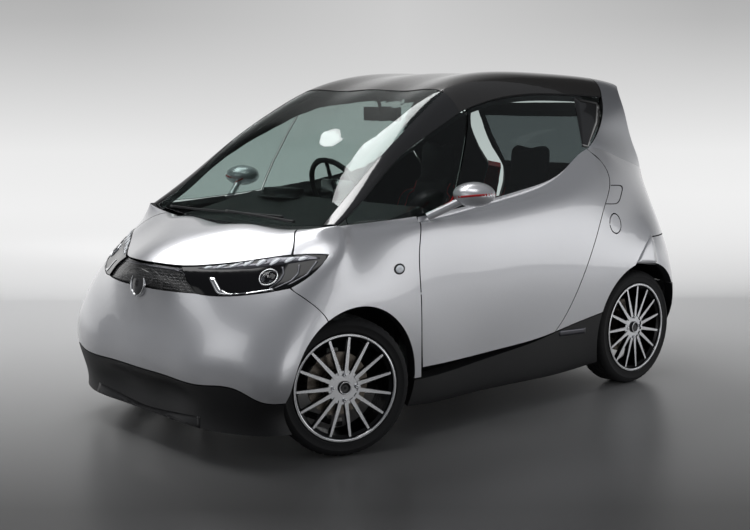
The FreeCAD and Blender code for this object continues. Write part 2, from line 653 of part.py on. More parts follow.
roof_corner = space_curve(canopy, [(-905, 511, 1366), (-930, 480, 1400), (-948, 440, 1432)], SHORT)
roof_side = space_curve(canopy, RAIL_REAR, FINE)
roof_side = pinned(roof_side, pillar_top[-1], roof_corner[0])
roof_front = pillar_top[:0:-1] + header + far_canopy(pillar_top[1:])
roof_back = straight(roof_corner[-1], far_canopy(roof_corner[-1:])[0], 2 * FINE - 1)
roof_rear = roof_corner[:-1] + roof_back + far_canopy(roof_corner[-2::-1])
roof = patch(canopy, roof_front, roof_rear, roof_wall, trims=(0.1, 1, 1, 1), shut=(1, 1, 0, 0),
             sides=(roof_side, far_canopy(roof_side)))



def belt_line(ahead, behind, count):
    """Upper body parameters along the body's top edge, where the side glass stands."""
    return [located(canopy, *body.value(*place)) for place in top_edge(body, ahead, behind, count)]


DIVIDER_FOOT = (238, 661, 923)
DIVIDER = [DIVIDER_FOOT, (214, 650, 985), (120, 605, 1180), (52, 548, 1318)]
divider = space_curve(canopy, DIVIDER, FINE)
belt_front = belt_line((800, 650, 891), DIVIDER_FOOT, FINE)
divider = pinned(divider, belt_front[-1])
pane_top = space_curve(canopy, [(800, 642, 915), (700, 630, 975), (500, 600, 1120), (300, 585, 1222),
                                (100, 562, 1305), (52, 548, 1318)], FINE)
pane_top = pinned(pane_top, None, divider[-1])
quarter_glass = patch(canopy, belt_front, pane_top, glass, near=3,
                      sides=(straight(belt_front[0], pane_top[0], FINE), divider), trims=(1, GLASS_GAP, 1, 1),
                      taper=(0, 0.3, 0, 0))
quarter_glass = max(quarter_glass.cut(roof.translated(Vector(0, 0, -0.4))).Solids, key=lambda solid: solid.Volume)
belt_rear = pinned(belt_line(DIVIDER_FOOT, (-696, 604, 1128), FINE), belt_front[-1])
glass_top = space_curve(canopy, [(52, 548, 1318), (-120, 545, 1358), (-350, 532, 1380), (-580, 525, 1380),
                                 (-800, 518, 1372), (-882, 511, 1366)], FINE)
PILLAR_EDGE = [(-696, 606, 1132), (-768, 590, 1178), (-826, 570, 1230), (-862, 545, 1290), (-882, 511, 1366)]
glass_rear = pinned(space_curve(canopy, PILLAR_EDGE, FINE), belt_rear[-1])
glass_top = pinned(glass_top, divider[-1], glass_rear[-1])
door_glass = patch(canopy, belt_rear, glass_top, glass, near=3, sides=(divider, glass_rear),
                   trims=(-0.85, 1, 2.6, 2))
door_glass = max(door_glass.cut(door.translated(Vector(0, 0, 0.4))).Solids, key=lambda solid: solid.Volume)

HOOP_FRONT = [(-692, 606, 1124), (-768, 590, 1174), (-826, 570, 1226), (-870, 545, 1290), (-905, 511, 1366)]
HOOP_REAR = [(-1220, 520, 1015), (-1150, 518, 1110), (-1098, 512, 1203), (-1070, 488, 1349), (-1120, 436, 1414)]
hoop_front = space_curve(canopy, HOOP_FRONT, SHORT)
hoop_rear = space_curve(canopy, HOOP_REAR, FINE)
belt_points = [body.value(*place) for place in spaced(body, quarter_top, MOST_COLUMNS)]
hoop_foot = [located(canopy, *point) for point in belt_points]
hoop_front = pinned(hoop_front, hoop_foot[0], roof_corner[0]) + roof_corner[1:]
hoop_rear = pinned(hoop_rear, hoop_foot[-1])
hoop_end = straight(hoop_front[-1], hoop_rear[-1], FINE)
side_hoop = patch(canopy, hoop_front, hoop_rear, roof_wall, trims=(1, 0, 0, 0.05), shut=(1, 0, 0, 0),
                  sides=(hoop_foot, hoop_end), meet=belt_points)
spoiler_rear = straight(hoop_rear[-1], far_canopy(hoop_rear[-1:])[0], 2 * FINE - 1)
spoiler = patch(canopy, roof_back, spoiler_rear, roof_wall, trims=(1, 0, 0.05, 0.05), shut=(1, 0, 0, 0),
                sides=(hoop_end, far_canopy(hoop_end)))


# Pieces of plain geometry, bound to the sheet.


def bound(kind, label, base=None, turn=None, **sizes):
    """A primitive whose sizes and place are formulas on the sheet."""
    obj = doc.addObject(kind, label)
    for name, formula in sizes.items():
        obj.setExpression(name, str(formula))
    for axis, formula in zip("xyz", base or (0, 0, 0)):
        obj.setExpression("Placement.Base." + axis, str(formula))
    if turn:
        axis, angle = turn
        obj.Placement = FreeCAD.Placement(obj.Placement.Base, FreeCAD.Rotation(Vector(*axis), 0))
        obj.setExpression("Placement.Rotation.Angle", str(angle))
    return obj


def box(label, x, y, z):
    """A block between two formulas along each axis."""
    return bound("Part::Box", label, (x[0], y[0], z[0]), Length="(%s) - (%s)" % (x[1], x[0]),
                 Width="(%s) - (%s)" % (y[1], y[0]), Height="(%s) - (%s)" % (z[1], z[0]))


def rod(label, base, along, radius, length):
    """A cylinder that starts at a point and runs along x, y or z."""
    turns = {"x": ((0, 1, 0), 90), "y": ((1, 0, 0), -90), "z": None}
    return bound("Part::Cylinder", label, base, turns[along], Radius=radius, Height=length)


def fused(label, pieces):
    obj = doc.addObject("Part::MultiFuse", label)
    obj.Shapes = pieces
    obj.Refine = True
    return obj


def cut(label, base, tool):
    obj = doc.addObject("Part::Cut", label)
    obj.Base = base
    obj.Tool = tool
    return obj


def grouped(label, pieces):
    """Pieces that share a node without touching."""
    obj = doc.addObject("Part::Compound", label)
    obj.Links = pieces
    return obj


def sketched(body_object, name, role, outlines):
    """A sketch on an origin plane, every corner bound to formulas."""
    sketch = body_object.newObject("Sketcher::SketchObject", name)
    plane = [item for item in body_object.Origin.OriginFeatures if item.Role == role][0]
    sketch.AttachmentSupport = [(plane, "")]
    sketch.MapMode = "FlatFace"
    start = 0
    for outline in outlines:
        values = [(number(a), number(b)) for a, b in outline]
        count = len(outline)
        for i in range(count):
            sketch.addGeometry(Part.LineSegment(Vector(*values[i], 0), Vector(*values[(i + 1) % count], 0)))
        for i in range(count):
            sketch.addConstraint(Sketcher.Constraint("Coincident", start + i, 2, start + (i + 1) % count, 1))
        for i in range(count):
            for kind, value, formula in zip(("DistanceX", "DistanceY"), values[i], outline[i]):
                index = sketch.addConstraint(Sketcher.Constraint(kind, -1, 1, start + i, 1, value))
                if not isinstance(formula, (int, float)):
                    sketch.setExpression("Constraints[%d]" % index, formula)
        start += count
    return sketch


def revolved(label, outline, name="Turned"):
    """A body turned about the y axis from an outline of (y, radius) formulas."""
    body_object = doc.addObject("PartDesign::Body", label)
    sketch = sketched(body_object, name + "Sketch", "XY_Plane", [[(r, y) for y, r in outline]])
    turned = body_object.newObject("PartDesign::Revolution", name)
    turned.Profile = sketch
    turned.ReferenceAxis = (sketch, ["V_Axis"])
    turned.Angle = 360
    return body_object


S = "Sizes."


def sized(text):
    """Put the sheet's name before each of its words in a formula."""
    for word in sorted([row[0] for row in DRIVING_SIZES + DERIVED_SIZES], key=len, reverse=True):
        text = text.replace("@" + word, S + word)
    return text


# Wheels: each is turned about the y axis at the origin, outer face towards +y, then placed.
WHEELS = {
    "front_left": ("@front_axle_x", "@kingpin_y", 1, True),
    "front_right": ("@front_axle_x", "@kingpin_y", -1, True),
    "rear_left": ("@rear_axle_x", "@kingpin_y", 1, False),
    "rear_right": ("@rear_axle_x", "@kingpin_y", -1, False),
}
# Distances from the steering pivot out to the faces of the wheel.
FACE = "@kingpin_inset"
TYRE_SHAPE = [("-@tyre_width/2 + 28", "@rim_radius - 8.6"), ("-@tyre_width/2 + 28", "@rim_radius + 0.6"),
              ("-@tyre_width/2 + 19", "@rim_radius + 6"),
              ("-@tyre_width/2 + 15", "@tyre_radius - 26"), ("-@tyre_width/2 + 25", "@tyre_radius - 8"),
              ("-@tyre_width/2 + 43", "@tyre_radius"), ("@tyre_width/2 - 13", "@tyre_radius"),
              ("@tyre_width/2 + 5", "@tyre_radius - 8"), ("@tyre_width/2 + 15", "@tyre_radius - 26"),
              ("@tyre_width/2 + 13", "@rim_radius + 6"), ("@tyre_width/2 + 6", "@rim_radius + 0.6"),
              ("@tyre_width/2 + 6", "@rim_radius - 8.6")]
TYRE = [(sized(y), sized(r)) for y, r in TYRE_SHAPE]
RIM = [("@kingpin_inset - 150", "@rim_radius"), ("@kingpin_inset - 150", "@rim_radius - 10"),
       ("@kingpin_inset - 130", "@rim_radius - 22"), ("@kingpin_inset - 20", "@rim_radius - 22"),
       ("@kingpin_inset - 12", "@rim_radius - 12"), ("@kingpin_inset", "@rim_radius - 8"),
       ("@kingpin_inset", "@rim_radius"), ("@kingpin_inset - 8", "@rim_radius"),
       ("@kingpin_inset - 8", "@rim_radius - 9"), ("@kingpin_inset - 142", "@rim_radius - 9"),
       ("@kingpin_inset - 142", "@rim_radius")]
for name, (x, y, side, steered) in WHEELS.items():
    turn = "(%s)" % (sized("@steer_turn") if steered else "0")
    if side < 0:
        turn += " + 180"

    def place(obj):
        obj.Placement = FreeCAD.Placement(Vector(0, 0, 0), FreeCAD.Rotation(Vector(0, 0, 1), 1))
        for axis, formula in zip("xyz", (x, ("-" if side < 0 else "") + y, "@tyre_radius")):
            obj.setExpression("Placement.Base." + axis, sized(formula))
        obj.setExpression("Placement.Rotation.Angle", turn)

    tyre = revolved("tyre_" + name, TYRE)
    place(tyre)
    node(tyre, "tyre_" + name)
    rim = revolved("rim_" + name, [(sized(a), sized(b)) for a, b in RIM], "Barrel")
    hub = sketched(rim, "HubSketch", "XZ_Plane", [])
    hub.addGeometry(Part.Circle(Vector(0, 0, 0), Vector(0, 0, 1), 68))
    hub.addGeometry(Part.Circle(Vector(0, 0, 0), Vector(0, 0, 1), number("hub_bore") / 2))
    for index, formula in ((0, sized("@lug_circle/2 + 16")), (1, sized("@hub_bore/2"))):
        hub.addConstraint(Sketcher.Constraint("Coincident", index, 3, -1, 1))
        constraint = hub.addConstraint(Sketcher.Constraint("Radius", index, number(formula)))
        hub.setExpression("Constraints[%d]" % constraint, formula)
    hub.AttachmentOffset = FreeCAD.Placement(Vector(0, 0, 0), FreeCAD.Rotation())
    hub.setExpression("AttachmentOffset.Base.z", sized("-@kingpin_inset + 14"))
    pad = rim.newObject("PartDesign::Pad", "Hub")
    pad.Profile = hub
    pad.Length = 40
    spoke = sketched(rim, "SpokeSketch", "XZ_Plane", [[(sized("@lug_circle/2 + 4"), -8), (sized("@rim_radius - 14"), -4.5),
                                                       (sized("@rim_radius - 14"), 4.5), (sized("@lug_circle/2 + 4"), 8)]])
    spoke.setExpression("AttachmentOffset.Base.z", sized("-@kingpin_inset + 10"))
    arm = rim.newObject("PartDesign::Pad", "Spoke")
    arm.Profile = spoke
    arm.Length = 22
    pattern = rim.newObject("PartDesign::PolarPattern", "Spokes")
    pattern.Originals = [arm]
    pattern.Axis = (hub, ["N_Axis"])
    pattern.Angle = 360
    pattern.setExpression("Occurrences", sized("@spokes"))
    rim.Tip = pattern
    bolt = sketched(rim, "BoltSketch", "XZ_Plane", [])
    bolt.addGeometry(Part.Circle(Vector(number("lug_circle") / 2, 0, 0), Vector(0, 0, 1), number("lug_hole") / 2))
    constraint = bolt.addConstraint(Sketcher.Constraint("Radius", 0, number("lug_hole") / 2))
    bolt.setExpression("Constraints[%d]" % constraint, sized("@lug_hole/2"))
    constraint = bolt.addConstraint(Sketcher.Constraint("DistanceX", -1, 1, 0, 3, number("lug_circle") / 2))
    bolt.setExpression("Constraints[%d]" % constraint, sized("@lug_circle/2"))
    bolt.addConstraint(Sketcher.Constraint("PointOnObject", 0, 3, -1))
    bore = rim.newObject("PartDesign::Pocket", "Bolt")
    bore.Profile = bolt
    bore.Type = 1
    bore.Midplane = True
    bolts = rim.newObject("PartDesign::PolarPattern", "Bolts")
    bolts.Originals = [bore]
    bolts.Axis = (hub, ["N_Axis"])
    bolts.Angle = 360
    bolts.Occurrences = 4
    rim.Tip = bolts
    place(rim)
    node(rim, "rim_" + name)
    disc = revolved("disc_" + name, [(sized(a), sized(b)) for a, b in
                    [("@kingpin_inset - 54.3", "@hub_bore/2"), ("@kingpin_inset - 54.3", "72"),
                     ("@kingpin_inset - 88", "72"), ("@kingpin_inset - 88", "@disc_radius"),
                     ("@kingpin_inset - 88 - @disc_thickness", "@disc_radius"),
                     ("@kingpin_inset - 88 - @disc_thickness", "64"),
                     ("@kingpin_inset - 68", "64"), ("@kingpin_inset - 68", "@hub_bore/2")]])
    place(disc)
    node(disc, "disc_" + name)
doc.recompute()


def pair(label, shape):
    """The same piece on both sides, as two nodes."""
    shape_node(label + "_left", shape)
    shape_node(label + "_right", across(shape))


def both(label, shape):
    """The same piece on both sides, sharing a node."""
    shape_node(label, Part.makeCompound([shape, across(shape)]))


FLAP_CENTRE = drawn(-779, 690, 786)
FLAP_WALL = 10
flap_radius = number("flap_radius")
flap_hole = Part.makeCylinder(flap_radius + seam / 2, 100, FLAP_CENTRE + Vector(0, 60, 0), ACROSS)
flap_plug = Part.makeCylinder(flap_radius - seam / 2, 100, FLAP_CENTRE + Vector(0, 60, 0), ACROSS)
flap_skin = patch(body, quarter_low, quarter_top, FLAP_WALL, sides=(quarter_front, quarter_rear))
flap_pin = Part.makeCylinder(3, 8, FLAP_CENTRE + Vector(flap_radius - 0.6, 21.5, -4))
flap = flap_skin.common(flap_plug).Solids[0].fuse(flap_pin)

shape_node("front_bumper", fascia)
shape_node("front_valance", valance)
shape_node("grille", grille)
both("headlamps", lamp)
both("front_wings", fender)
shape_node("bonnet", bonnet)
both("sills", sill)
shape_node("rear_quarter_left", quarter.cut(flap_hole))
shape_node("rear_quarter_right", across(quarter))
shape_node("filler_flap", flap)
shape_node("roof_hoop", Part.makeCompound([side_hoop, across(side_hoop), spoiler]))
shape_node("rear_bumper", rear_bumper)
shape_node("rear_valance", rear_valance)
both("tail_lamps", tail_lamp)
shape_node("tailgate", tailgate)
shape_node("tailgate_glass", tailgate_glass)
shape_node("windscreen", windscreen)
both("screen_pillars", pillar)
shape_node("roof", roof)
both("quarter_glass", quarter_glass)
DOOR_PIN = drawn(473.9, 717, 600)
door_pin = Part.makeCylinder(2.9, 8, DOOR_PIN - Vector(0, 0, 4))
pair("door", door.fuse(door_pin))
pair("door_glass", door_glass)

# Door mirrors: an arm from the belt and an egg-shaped housing.
MIRROR_MIDDLE = drawn(250, 790, 985)
MIRROR_FOOT = drawn(402, 677, 896)
housing = Part.makeSphere(1)
stretch = FreeCAD.Matrix()
stretch.scale(78, 92, 50)
housing = housing.transformGeometry(stretch)
housing.translate(MIRROR_MIDDLE)
arm = Part.makeCone(16, 17, (MIRROR_FOOT - MIRROR_MIDDLE).Length, MIRROR_MIDDLE, MIRROR_FOOT - MIRROR_MIDDLE)
mirror_piece = housing.fuse(arm)
mirror_piece = mirror_piece.cut(door.translated(Vector(0, 0.4, 0.3)))
mirror_piece = max(mirror_piece.Solids, key=lambda solid: solid.Volume)
pair("mirror", mirror_piece)

# Under the body: floor with its bulkheads, rear deck and seat runners, then the motor.
SIDE = sized("@width/2 - 150")
floor = box("FloorPlate", (sized("@rear_axle_x - 290"), sized("@front_axle_x + 330")), ("-(" + SIDE + ")", SIDE),
            (sized("@floor_height"), sized("@floor_height + @floor_wall")))
wells = []
for name, (x, y, side, steered) in WHEELS.items():
    sign = "-" if side < 0 else ""
    if steered:
        well = rod("Well_" + name, (sized(x), sized(sign + y), 0), "z", sized("@tyre_radius + 30"), 900)
    else:
        low, high = (sized("@kingpin_y - @tyre_width + 40"), sized("@width"))
        if side < 0:
            low, high = "-(%s)" % high, "-(%s)" % low
        well = box("Well_" + name, (sized("@rear_axle_x - @tyre_radius - 26"), sized("@rear_axle_x + @tyre_radius + 26")),
                   (low, high), (0, 900))
    wells.append(well)
wells_all = fused("Wells", wells)
firewall = box("Firewall", (sized("@front_axle_x - 345"), sized("@front_axle_x - 315")), ("-(" + SIDE + ")", SIDE),
               (sized("@floor_height"), sized("@belt - 210")))
bulkhead = box("Bulkhead", (sized("@rear_axle_x + 248"), sized("@rear_axle_x + 270")),
               (sized("-@kingpin_y + @tyre_width - 20"), sized("@kingpin_y - @tyre_width + 20")),
               (sized("@floor_height"), sized("@belt - 205")))
deck = box("Deck", (sized("@rear_axle_x - 290"), sized("@rear_axle_x + 260")),
           (sized("-@kingpin_y + @tyre_width - 20"), sized("@kingpin_y - @tyre_width + 20")),
           (sized("@belt - 235"), sized("@belt - 205")))
runners = []
for k, y in enumerate(("@seat_spacing/2 - 160", "@seat_spacing/2 + 120", "-@seat_spacing/2 - 160", "-@seat_spacing/2 + 120")):
    runners.append(box("Runner%d" % k, (sized("@front_axle_x - 1340"), sized("@front_axle_x - 880")),
                       (sized(y), sized(y + " + 40")), (sized("@floor_height + @floor_wall - 5"), sized("@floor_height + 108"))))
tub = fused("Tub", [floor, firewall, bulkhead, deck] + runners)
node(cut("FloorPan", tub, wells_all), "floor_pan")

motor = box("Motor", (sized("@rear_axle_x - 190"), sized("@rear_axle_x + 210")), (-200, 200),
            (sized("@floor_height + @floor_wall + 110"), sized("@floor_height + @floor_wall + 370")))
node(motor, "motor")

SEAT_SIDE = [("@front_axle_x - 840", "@floor_height + 110"), ("@front_axle_x - 820", "@floor_height + 290"),
             ("@front_axle_x - 880", "@floor_height + 320"), ("@front_axle_x - 1240", "@floor_height + 260"),
             ("@front_axle_x - 1400", "@floor_height + 820"), ("@front_axle_x - 1420", "@floor_height + 1000"),
             ("@front_axle_x - 1500", "@floor_height + 1000"), ("@front_axle_x - 1500", "@floor_height + 800"),
             ("@front_axle_x - 1350", "@floor_height + 110")]
for side, label in ((1, "left"), (-1, "right")):
    seat = doc.addObject("PartDesign::Body", "seat_" + label)
    sketch = sketched(seat, "SeatSide", "XZ_Plane", [[(sized(a), sized(b)) for a, b in SEAT_SIDE]])
    near = "-@seat_spacing/2 + @seat_width/2" if side < 0 else "@seat_spacing/2 + @seat_width/2"
    sketch.setExpression("AttachmentOffset.Base.z", sized("-(" + near + ")"))
    pad = seat.newObject("PartDesign::Pad", "SeatPad")
    pad.Profile = sketch
    pad.setExpression("Length", sized("@seat_width"))
    node(seat, "seat_" + label)

dash = doc.addObject("PartDesign::Body", "dashboard")
DASH_SIDE = [("@front_axle_x - 350", "@belt - 200"), ("@front_axle_x - 350", "@belt - 260"),
             ("@front_axle_x - 480", "@belt - 290"), ("@front_axle_x - 640", "@belt - 150"),
             ("@front_axle_x - 620", "@belt - 30"), ("@front_axle_x - 480", "@belt + 20"),
             ("@front_axle_x - 60", "@belt - 70"), ("@front_axle_x - 60", "@belt - 110"),
             ("@front_axle_x - 315", "@belt - 140")]
sketch = sketched(dash, "DashSide", "XZ_Plane", [[(sized(a), sized(b)) for a, b in DASH_SIDE]])
pad = dash.newObject("PartDesign::Pad", "DashPad")
pad.Profile = sketch
pad.Midplane = True
pad.setExpression("Length", sized("@width - 330"))
node(dash, "dashboard")

# Steering wheel, tilted, in front of the right seat.
STEER_TILT = 24
steer_axis = Vector(-math.cos(math.radians(STEER_TILT)), 0, math.sin(math.radians(STEER_TILT)))
steer_centre = Vector(number("front_axle_x - 779"), number("-seat_spacing / 2"), number("belt + 10"))
ring = Part.makeTorus(number("wheel_ring"), 13, steer_centre, steer_axis)
boss = Part.makeCylinder(45, 30, steer_centre - steer_axis * 34, steer_axis)
column = Part.makeCylinder(22, 90, steer_centre - steer_axis * 120, steer_axis)
arms = []
for angle in (-90, 30, 150):
    out = FreeCAD.Rotation(steer_axis, angle).multVec(Vector(0, 1, 0))
    arms.append(Part.makeCylinder(9, number("wheel_ring") - 10, steer_centre - steer_axis * 18 + out * 10, out + steer_axis * 0.1))
steering_wheel = ring.fuse([boss, column] + arms)
shape_node("steering_wheel", steering_wheel.Solids[0])
cabin_mirror = Part.makeBox(22, 230, 62, drawn(20, -115, 1262))
stem = Part.makeCylinder(8, 90, drawn(32, 0, 1290), Vector(0.35, 0, 1))
shape_node("cabin_mirror", cabin_mirror.fuse(stem))

# Axles: the front one carries a knuckle each side, the rear one both wheels.
for name, (x, y, side, steered) in WHEELS.items():
    if not steered:
        continue
    sign = "-" if side < 0 else ""
    turn = sized("@steer_turn") + (" + 180" if side < 0 else "")
    hub_carrier = rod("Carrier_" + name, (0, -45, 0), "y", 40, sized("@kingpin_inset - 29"))
    spindle = rod("Spindle_" + name, (0, -45, 0), "y", sized("@hub_bore/2 - 0.4"), sized("@kingpin_inset + 25"))
    upright = box("Upright_" + name, (-20, 20), (-60, -40), (-150, 130))
    lug = box("Lug_" + name, (-14, 14), (-60, 12), (-150, -135))
    pin = rod("Pivot_" + name, (0, 0, -170), "z", 8, 35)
    knuckle = fused("Knuckle_" + name, [hub_carrier, spindle, upright, lug, pin])
    knuckle.Placement = FreeCAD.Placement(Vector(0, 0, 0), FreeCAD.Rotation(Vector(0, 0, 1), 1))
    for axis_name, formula in zip("xyz", (x, sign + y, "@tyre_radius")):
        knuckle.setExpression("Placement.Base." + axis_name, sized(formula))
    knuckle.setExpression("Placement.Rotation.Angle", turn)
    node(knuckle, "knuckle_" + name[6:])
beam = rod("RearBeam", (sized("@rear_axle_x"), sized("-@rim_face + 110"), sized("@tyre_radius")), "y", 30,
           sized("2*@rim_face - 220"))
stub = rod("RearStub", (sized("@rear_axle_x"), sized("-@rim_face + 20"), sized("@tyre_radius")), "y",
           sized("@hub_bore/2 - 0.4"), sized("2*@rim_face - 40"))
trailing = [box("TrailingArm%d" % k, (sized("@rear_axle_x"), sized("@rear_axle_x + 235")), (y, y + " + 50"),
                (sized("@tyre_radius - 40"), sized("@tyre_radius + 10")))
            for k, y in enumerate((sized("@kingpin_y - 200"), sized("-@kingpin_y + 150")))]
node(fused("RearAxle", [beam, stub] + trailing), "rear_axle")
cross = box("CrossMember", (sized("@front_axle_x - 60"), sized("@front_axle_x + 60")), (-330, 330),
            (sized("@tyre_radius - 60"), sized("@tyre_radius + 20")))
links = []
holes = []
for k, sign in enumerate(("", "-")):
    inner = sign + "310"
    outer = sized(sign + "(@kingpin_y + 14)")
    low, high = (inner, outer) if k == 0 else (outer, inner)
    links.append(box("LowerArm%d" % k, (sized("@front_axle_x - 14"), sized("@front_axle_x + 14")), (low, high),
                     (sized("@tyre_radius - 168"), sized("@tyre_radius - 151"))))
    low, high = ("310", "330") if k == 0 else ("-330", "-310")
    links.append(box("ArmPost%d" % k, (sized("@front_axle_x - 14"), sized("@front_axle_x + 14")), (low, high),
                     (sized("@tyre_radius - 168"), sized("@tyre_radius - 20"))))
    holes.append(rod("PivotHole%d" % k, (sized("@front_axle_x"), sized(sign + "@kingpin_y"), 0), "z", 8.4, 300))
node(cut("FrontAxle", fused("FrontLinks", [cross] + links), fused("PivotHoles", holes)), "front_axle")

doc.recompute()
bad = []
for obj in doc.Objects:
    if "Invalid" in obj.State or "Error" in obj.State:
        bad.append(obj.Name)
for label, obj in NODES.items():
    if obj.Shape.isNull() or not obj.Shape.isValid():
        bad.append(label)
if bad:
    raise RuntimeError("not built: " + ", ".join(bad))
os.makedirs("parts", exist_ok=True)
for label, obj in NODES.items():
    obj.Shape.exportStep(os.path.join("parts", label + ".step"))
    b = obj.Shape.BoundBox
    print(label, len(obj.Shape.Solids), round(obj.Shape.Volume / 1e6, 3),
          [round(c) for c in (b.XMin, b.XMax, b.YMin, b.YMax, b.ZMin, b.ZMax)], flush=True)
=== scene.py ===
# %% [markdown]
# The car's shape, size and joints come from CAD. This script only dresses it: paint, glass,
# rubber, lamps, seats, and the small trim that is too fine for the CAD solids.
# Loading the frame first gives every CAD piece in metres, with +X forward and +Z up.

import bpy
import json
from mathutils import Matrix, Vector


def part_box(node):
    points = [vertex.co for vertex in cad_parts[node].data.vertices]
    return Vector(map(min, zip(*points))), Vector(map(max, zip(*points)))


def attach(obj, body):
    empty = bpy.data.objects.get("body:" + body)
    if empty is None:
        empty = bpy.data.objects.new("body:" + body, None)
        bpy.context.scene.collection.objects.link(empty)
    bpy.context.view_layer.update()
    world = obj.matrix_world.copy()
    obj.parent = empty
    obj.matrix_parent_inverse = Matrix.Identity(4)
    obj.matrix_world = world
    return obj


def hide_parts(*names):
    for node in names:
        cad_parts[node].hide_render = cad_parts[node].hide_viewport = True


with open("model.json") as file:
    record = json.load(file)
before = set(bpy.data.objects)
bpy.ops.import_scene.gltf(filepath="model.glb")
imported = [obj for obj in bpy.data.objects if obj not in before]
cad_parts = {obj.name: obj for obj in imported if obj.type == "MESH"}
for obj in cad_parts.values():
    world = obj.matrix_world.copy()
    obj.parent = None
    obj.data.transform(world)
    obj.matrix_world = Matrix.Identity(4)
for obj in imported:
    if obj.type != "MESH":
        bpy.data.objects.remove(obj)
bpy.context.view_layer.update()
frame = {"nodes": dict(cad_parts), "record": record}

# %% Tools
import json
import math

import bmesh
import bpy
from mathutils import Matrix, Vector
from mathutils.bvhtree import BVHTree

scene = bpy.context.scene
nodes = frame["nodes"]
record = frame["record"]
print(len(nodes), "CAD pieces")

# %% [markdown]
# A photograph fixes the view. The camera was fitted to points of the near side, the roof and
# the outline, with the car's length and height taken as known, so it is placed by numbers:
# where the eye is, three angles and a focal length.

# %% Camera
EYE = Vector((3.81324, 4.19382, 1.39249))
YAW, PITCH, ROLL = (math.radians(angle) for angle in (-131.68, -8.01, -0.22))
PICTURE = (750, 530)
LENS, SENSOR = 59.02, 36
FOCUS = LENS / SENSOR * PICTURE[0]
forward = Vector((math.cos(PITCH) * math.cos(YAW), math.cos(PITCH) * math.sin(YAW), math.sin(PITCH)))
level = forward.cross(Vector((0, 0, 1))).normalized()
upright = level.cross(forward)
rightward = math.cos(ROLL) * level + math.sin(ROLL) * upright
upward = math.cos(ROLL) * upright - math.sin(ROLL) * level
camera_data = bpy.data.cameras.new("camera")
camera_data.lens, camera_data.sensor_width = LENS, SENSOR
camera = bpy.data.objects.new("camera", camera_data)
camera.matrix_world = Matrix.Translation(EYE) @ Matrix((rightward, upward, -forward)).transposed().to_4x4()
scene.collection.objects.link(camera)
scene.camera = camera
scene.view_settings.view_transform = "Standard"
print("focal length in picture points", round(FOCUS, 1))

# %% [markdown]
# Materials are easier to read as sums. A Value wraps the output of a node, so that
# noise * 0.2 + 0.5 adds the two Math nodes by itself, whichever side the number is on.

# %% Shader sums
class Value:
    """A number that changes over a surface."""

    def __init__(self, finish, socket):
        self.finish, self.socket = finish, socket

    def maths(self, operation, first, second=0.0):
        return self.finish.node("ShaderNodeMath", {"operation": operation}, [first, second])

    def __add__(self, other):
        return self.maths("ADD", self, other)

    def __sub__(self, other):
        return self.maths("SUBTRACT", self, other)

    def __rsub__(self, other):
        return self.maths("SUBTRACT", other, self)

    def __mul__(self, other):
        return self.maths("MULTIPLY", self, other)

    def __truediv__(self, other):
        return self.maths("DIVIDE", self, other)

    def __abs__(self):
        return self.maths("ABSOLUTE", self)

    def over(self, limit):
        return self.maths("GREATER_THAN", self, limit)

    def least(self, other):
        return self.maths("MINIMUM", self, other)

    def most(self, other):
        return self.maths("MAXIMUM", self, other)

    __radd__, __rmul__ = __add__, __mul__


print("sums ready")

# %% [markdown]
# A Finish is one material. All its nodes are made by one method, which takes the node's type,
# its settings and then the values or links of its sockets.

# %% Finish
class Finish:
    """A material that is built up node by node."""

    def __init__(self, name, **plain):
        self.material = bpy.data.materials.new(name)
        self.material.use_nodes = True
        self.tree = self.material.node_tree
        self.shader = self.tree.nodes["Principled BSDF"]
        self.look(**plain)

    def fill(self, made, inputs):
        for key, value in (inputs.items() if isinstance(inputs, dict) else enumerate(inputs)):
            if isinstance(value, Value):
                self.tree.links.new(value.socket, made.inputs[key])
            else:
                made.inputs[key].default_value = value

    def node(self, kind, settings=None, inputs=(), output=0):
        made = self.tree.nodes.new(kind)
        for name, value in (settings or {}).items():
            if name == "stops":
                ramp = made.color_ramp.elements
                while len(ramp) < len(value):
                    ramp.new(0.5)
                for stop, (place, colour) in zip(ramp, value):
                    stop.position, stop.color = place, (*colour, 1)
            else:
                setattr(made, name, value)
        self.fill(made, inputs)
        return Value(self, made.outputs[output])

    def look(self, **plain):
        """Set or link sockets of the main shader: base_color=..., roughness=..."""
        names = {name: name.replace("_", " ").title().replace("Ior", "IOR") for name in plain}
        self.fill(self.shader, {names[name]: value for name, value in plain.items()})

    def place(self):
        return self.node("ShaderNodeTexCoord", output=3)

    def facing(self):
        return self.node("ShaderNodeTexCoord", output=1)

    def noise(self, scale, detail=2.0):
        return self.node("ShaderNodeTexNoise", {}, {"Vector": self.place(), "Scale": scale, "Detail": detail})

    def vector(self, operation, first, second=(0, 0, 0), output=0):
        return self.node("ShaderNodeVectorMath", {"operation": operation}, [first, second], output)

    def blend(self, share, first, second):
        return self.node("ShaderNodeMix", {"data_type": "RGBA"}, {0: share, 6: first, 7: second}, 2)

    def rough_by(self, height, strength, distance=0.001):
        normal = self.node("ShaderNodeBump", {}, {"Strength": strength, "Distance": distance, "Height": height})
        self.look(normal=normal)


print("finishes can be made")

# %% [markdown]
# Each body panel is one thick solid, so the side that faces the cabin would show paint through
# the glass. On the real car it is lined. The lining is found by comparing the way a face points
# with the way out from a line along the middle of the cabin: no second mesh is needed.

# %% Lining mask
SPINE_REACH = 0.85
SPINE_HEIGHT = 0.5
LINING = (0.018, 0.018, 0.02, 1)


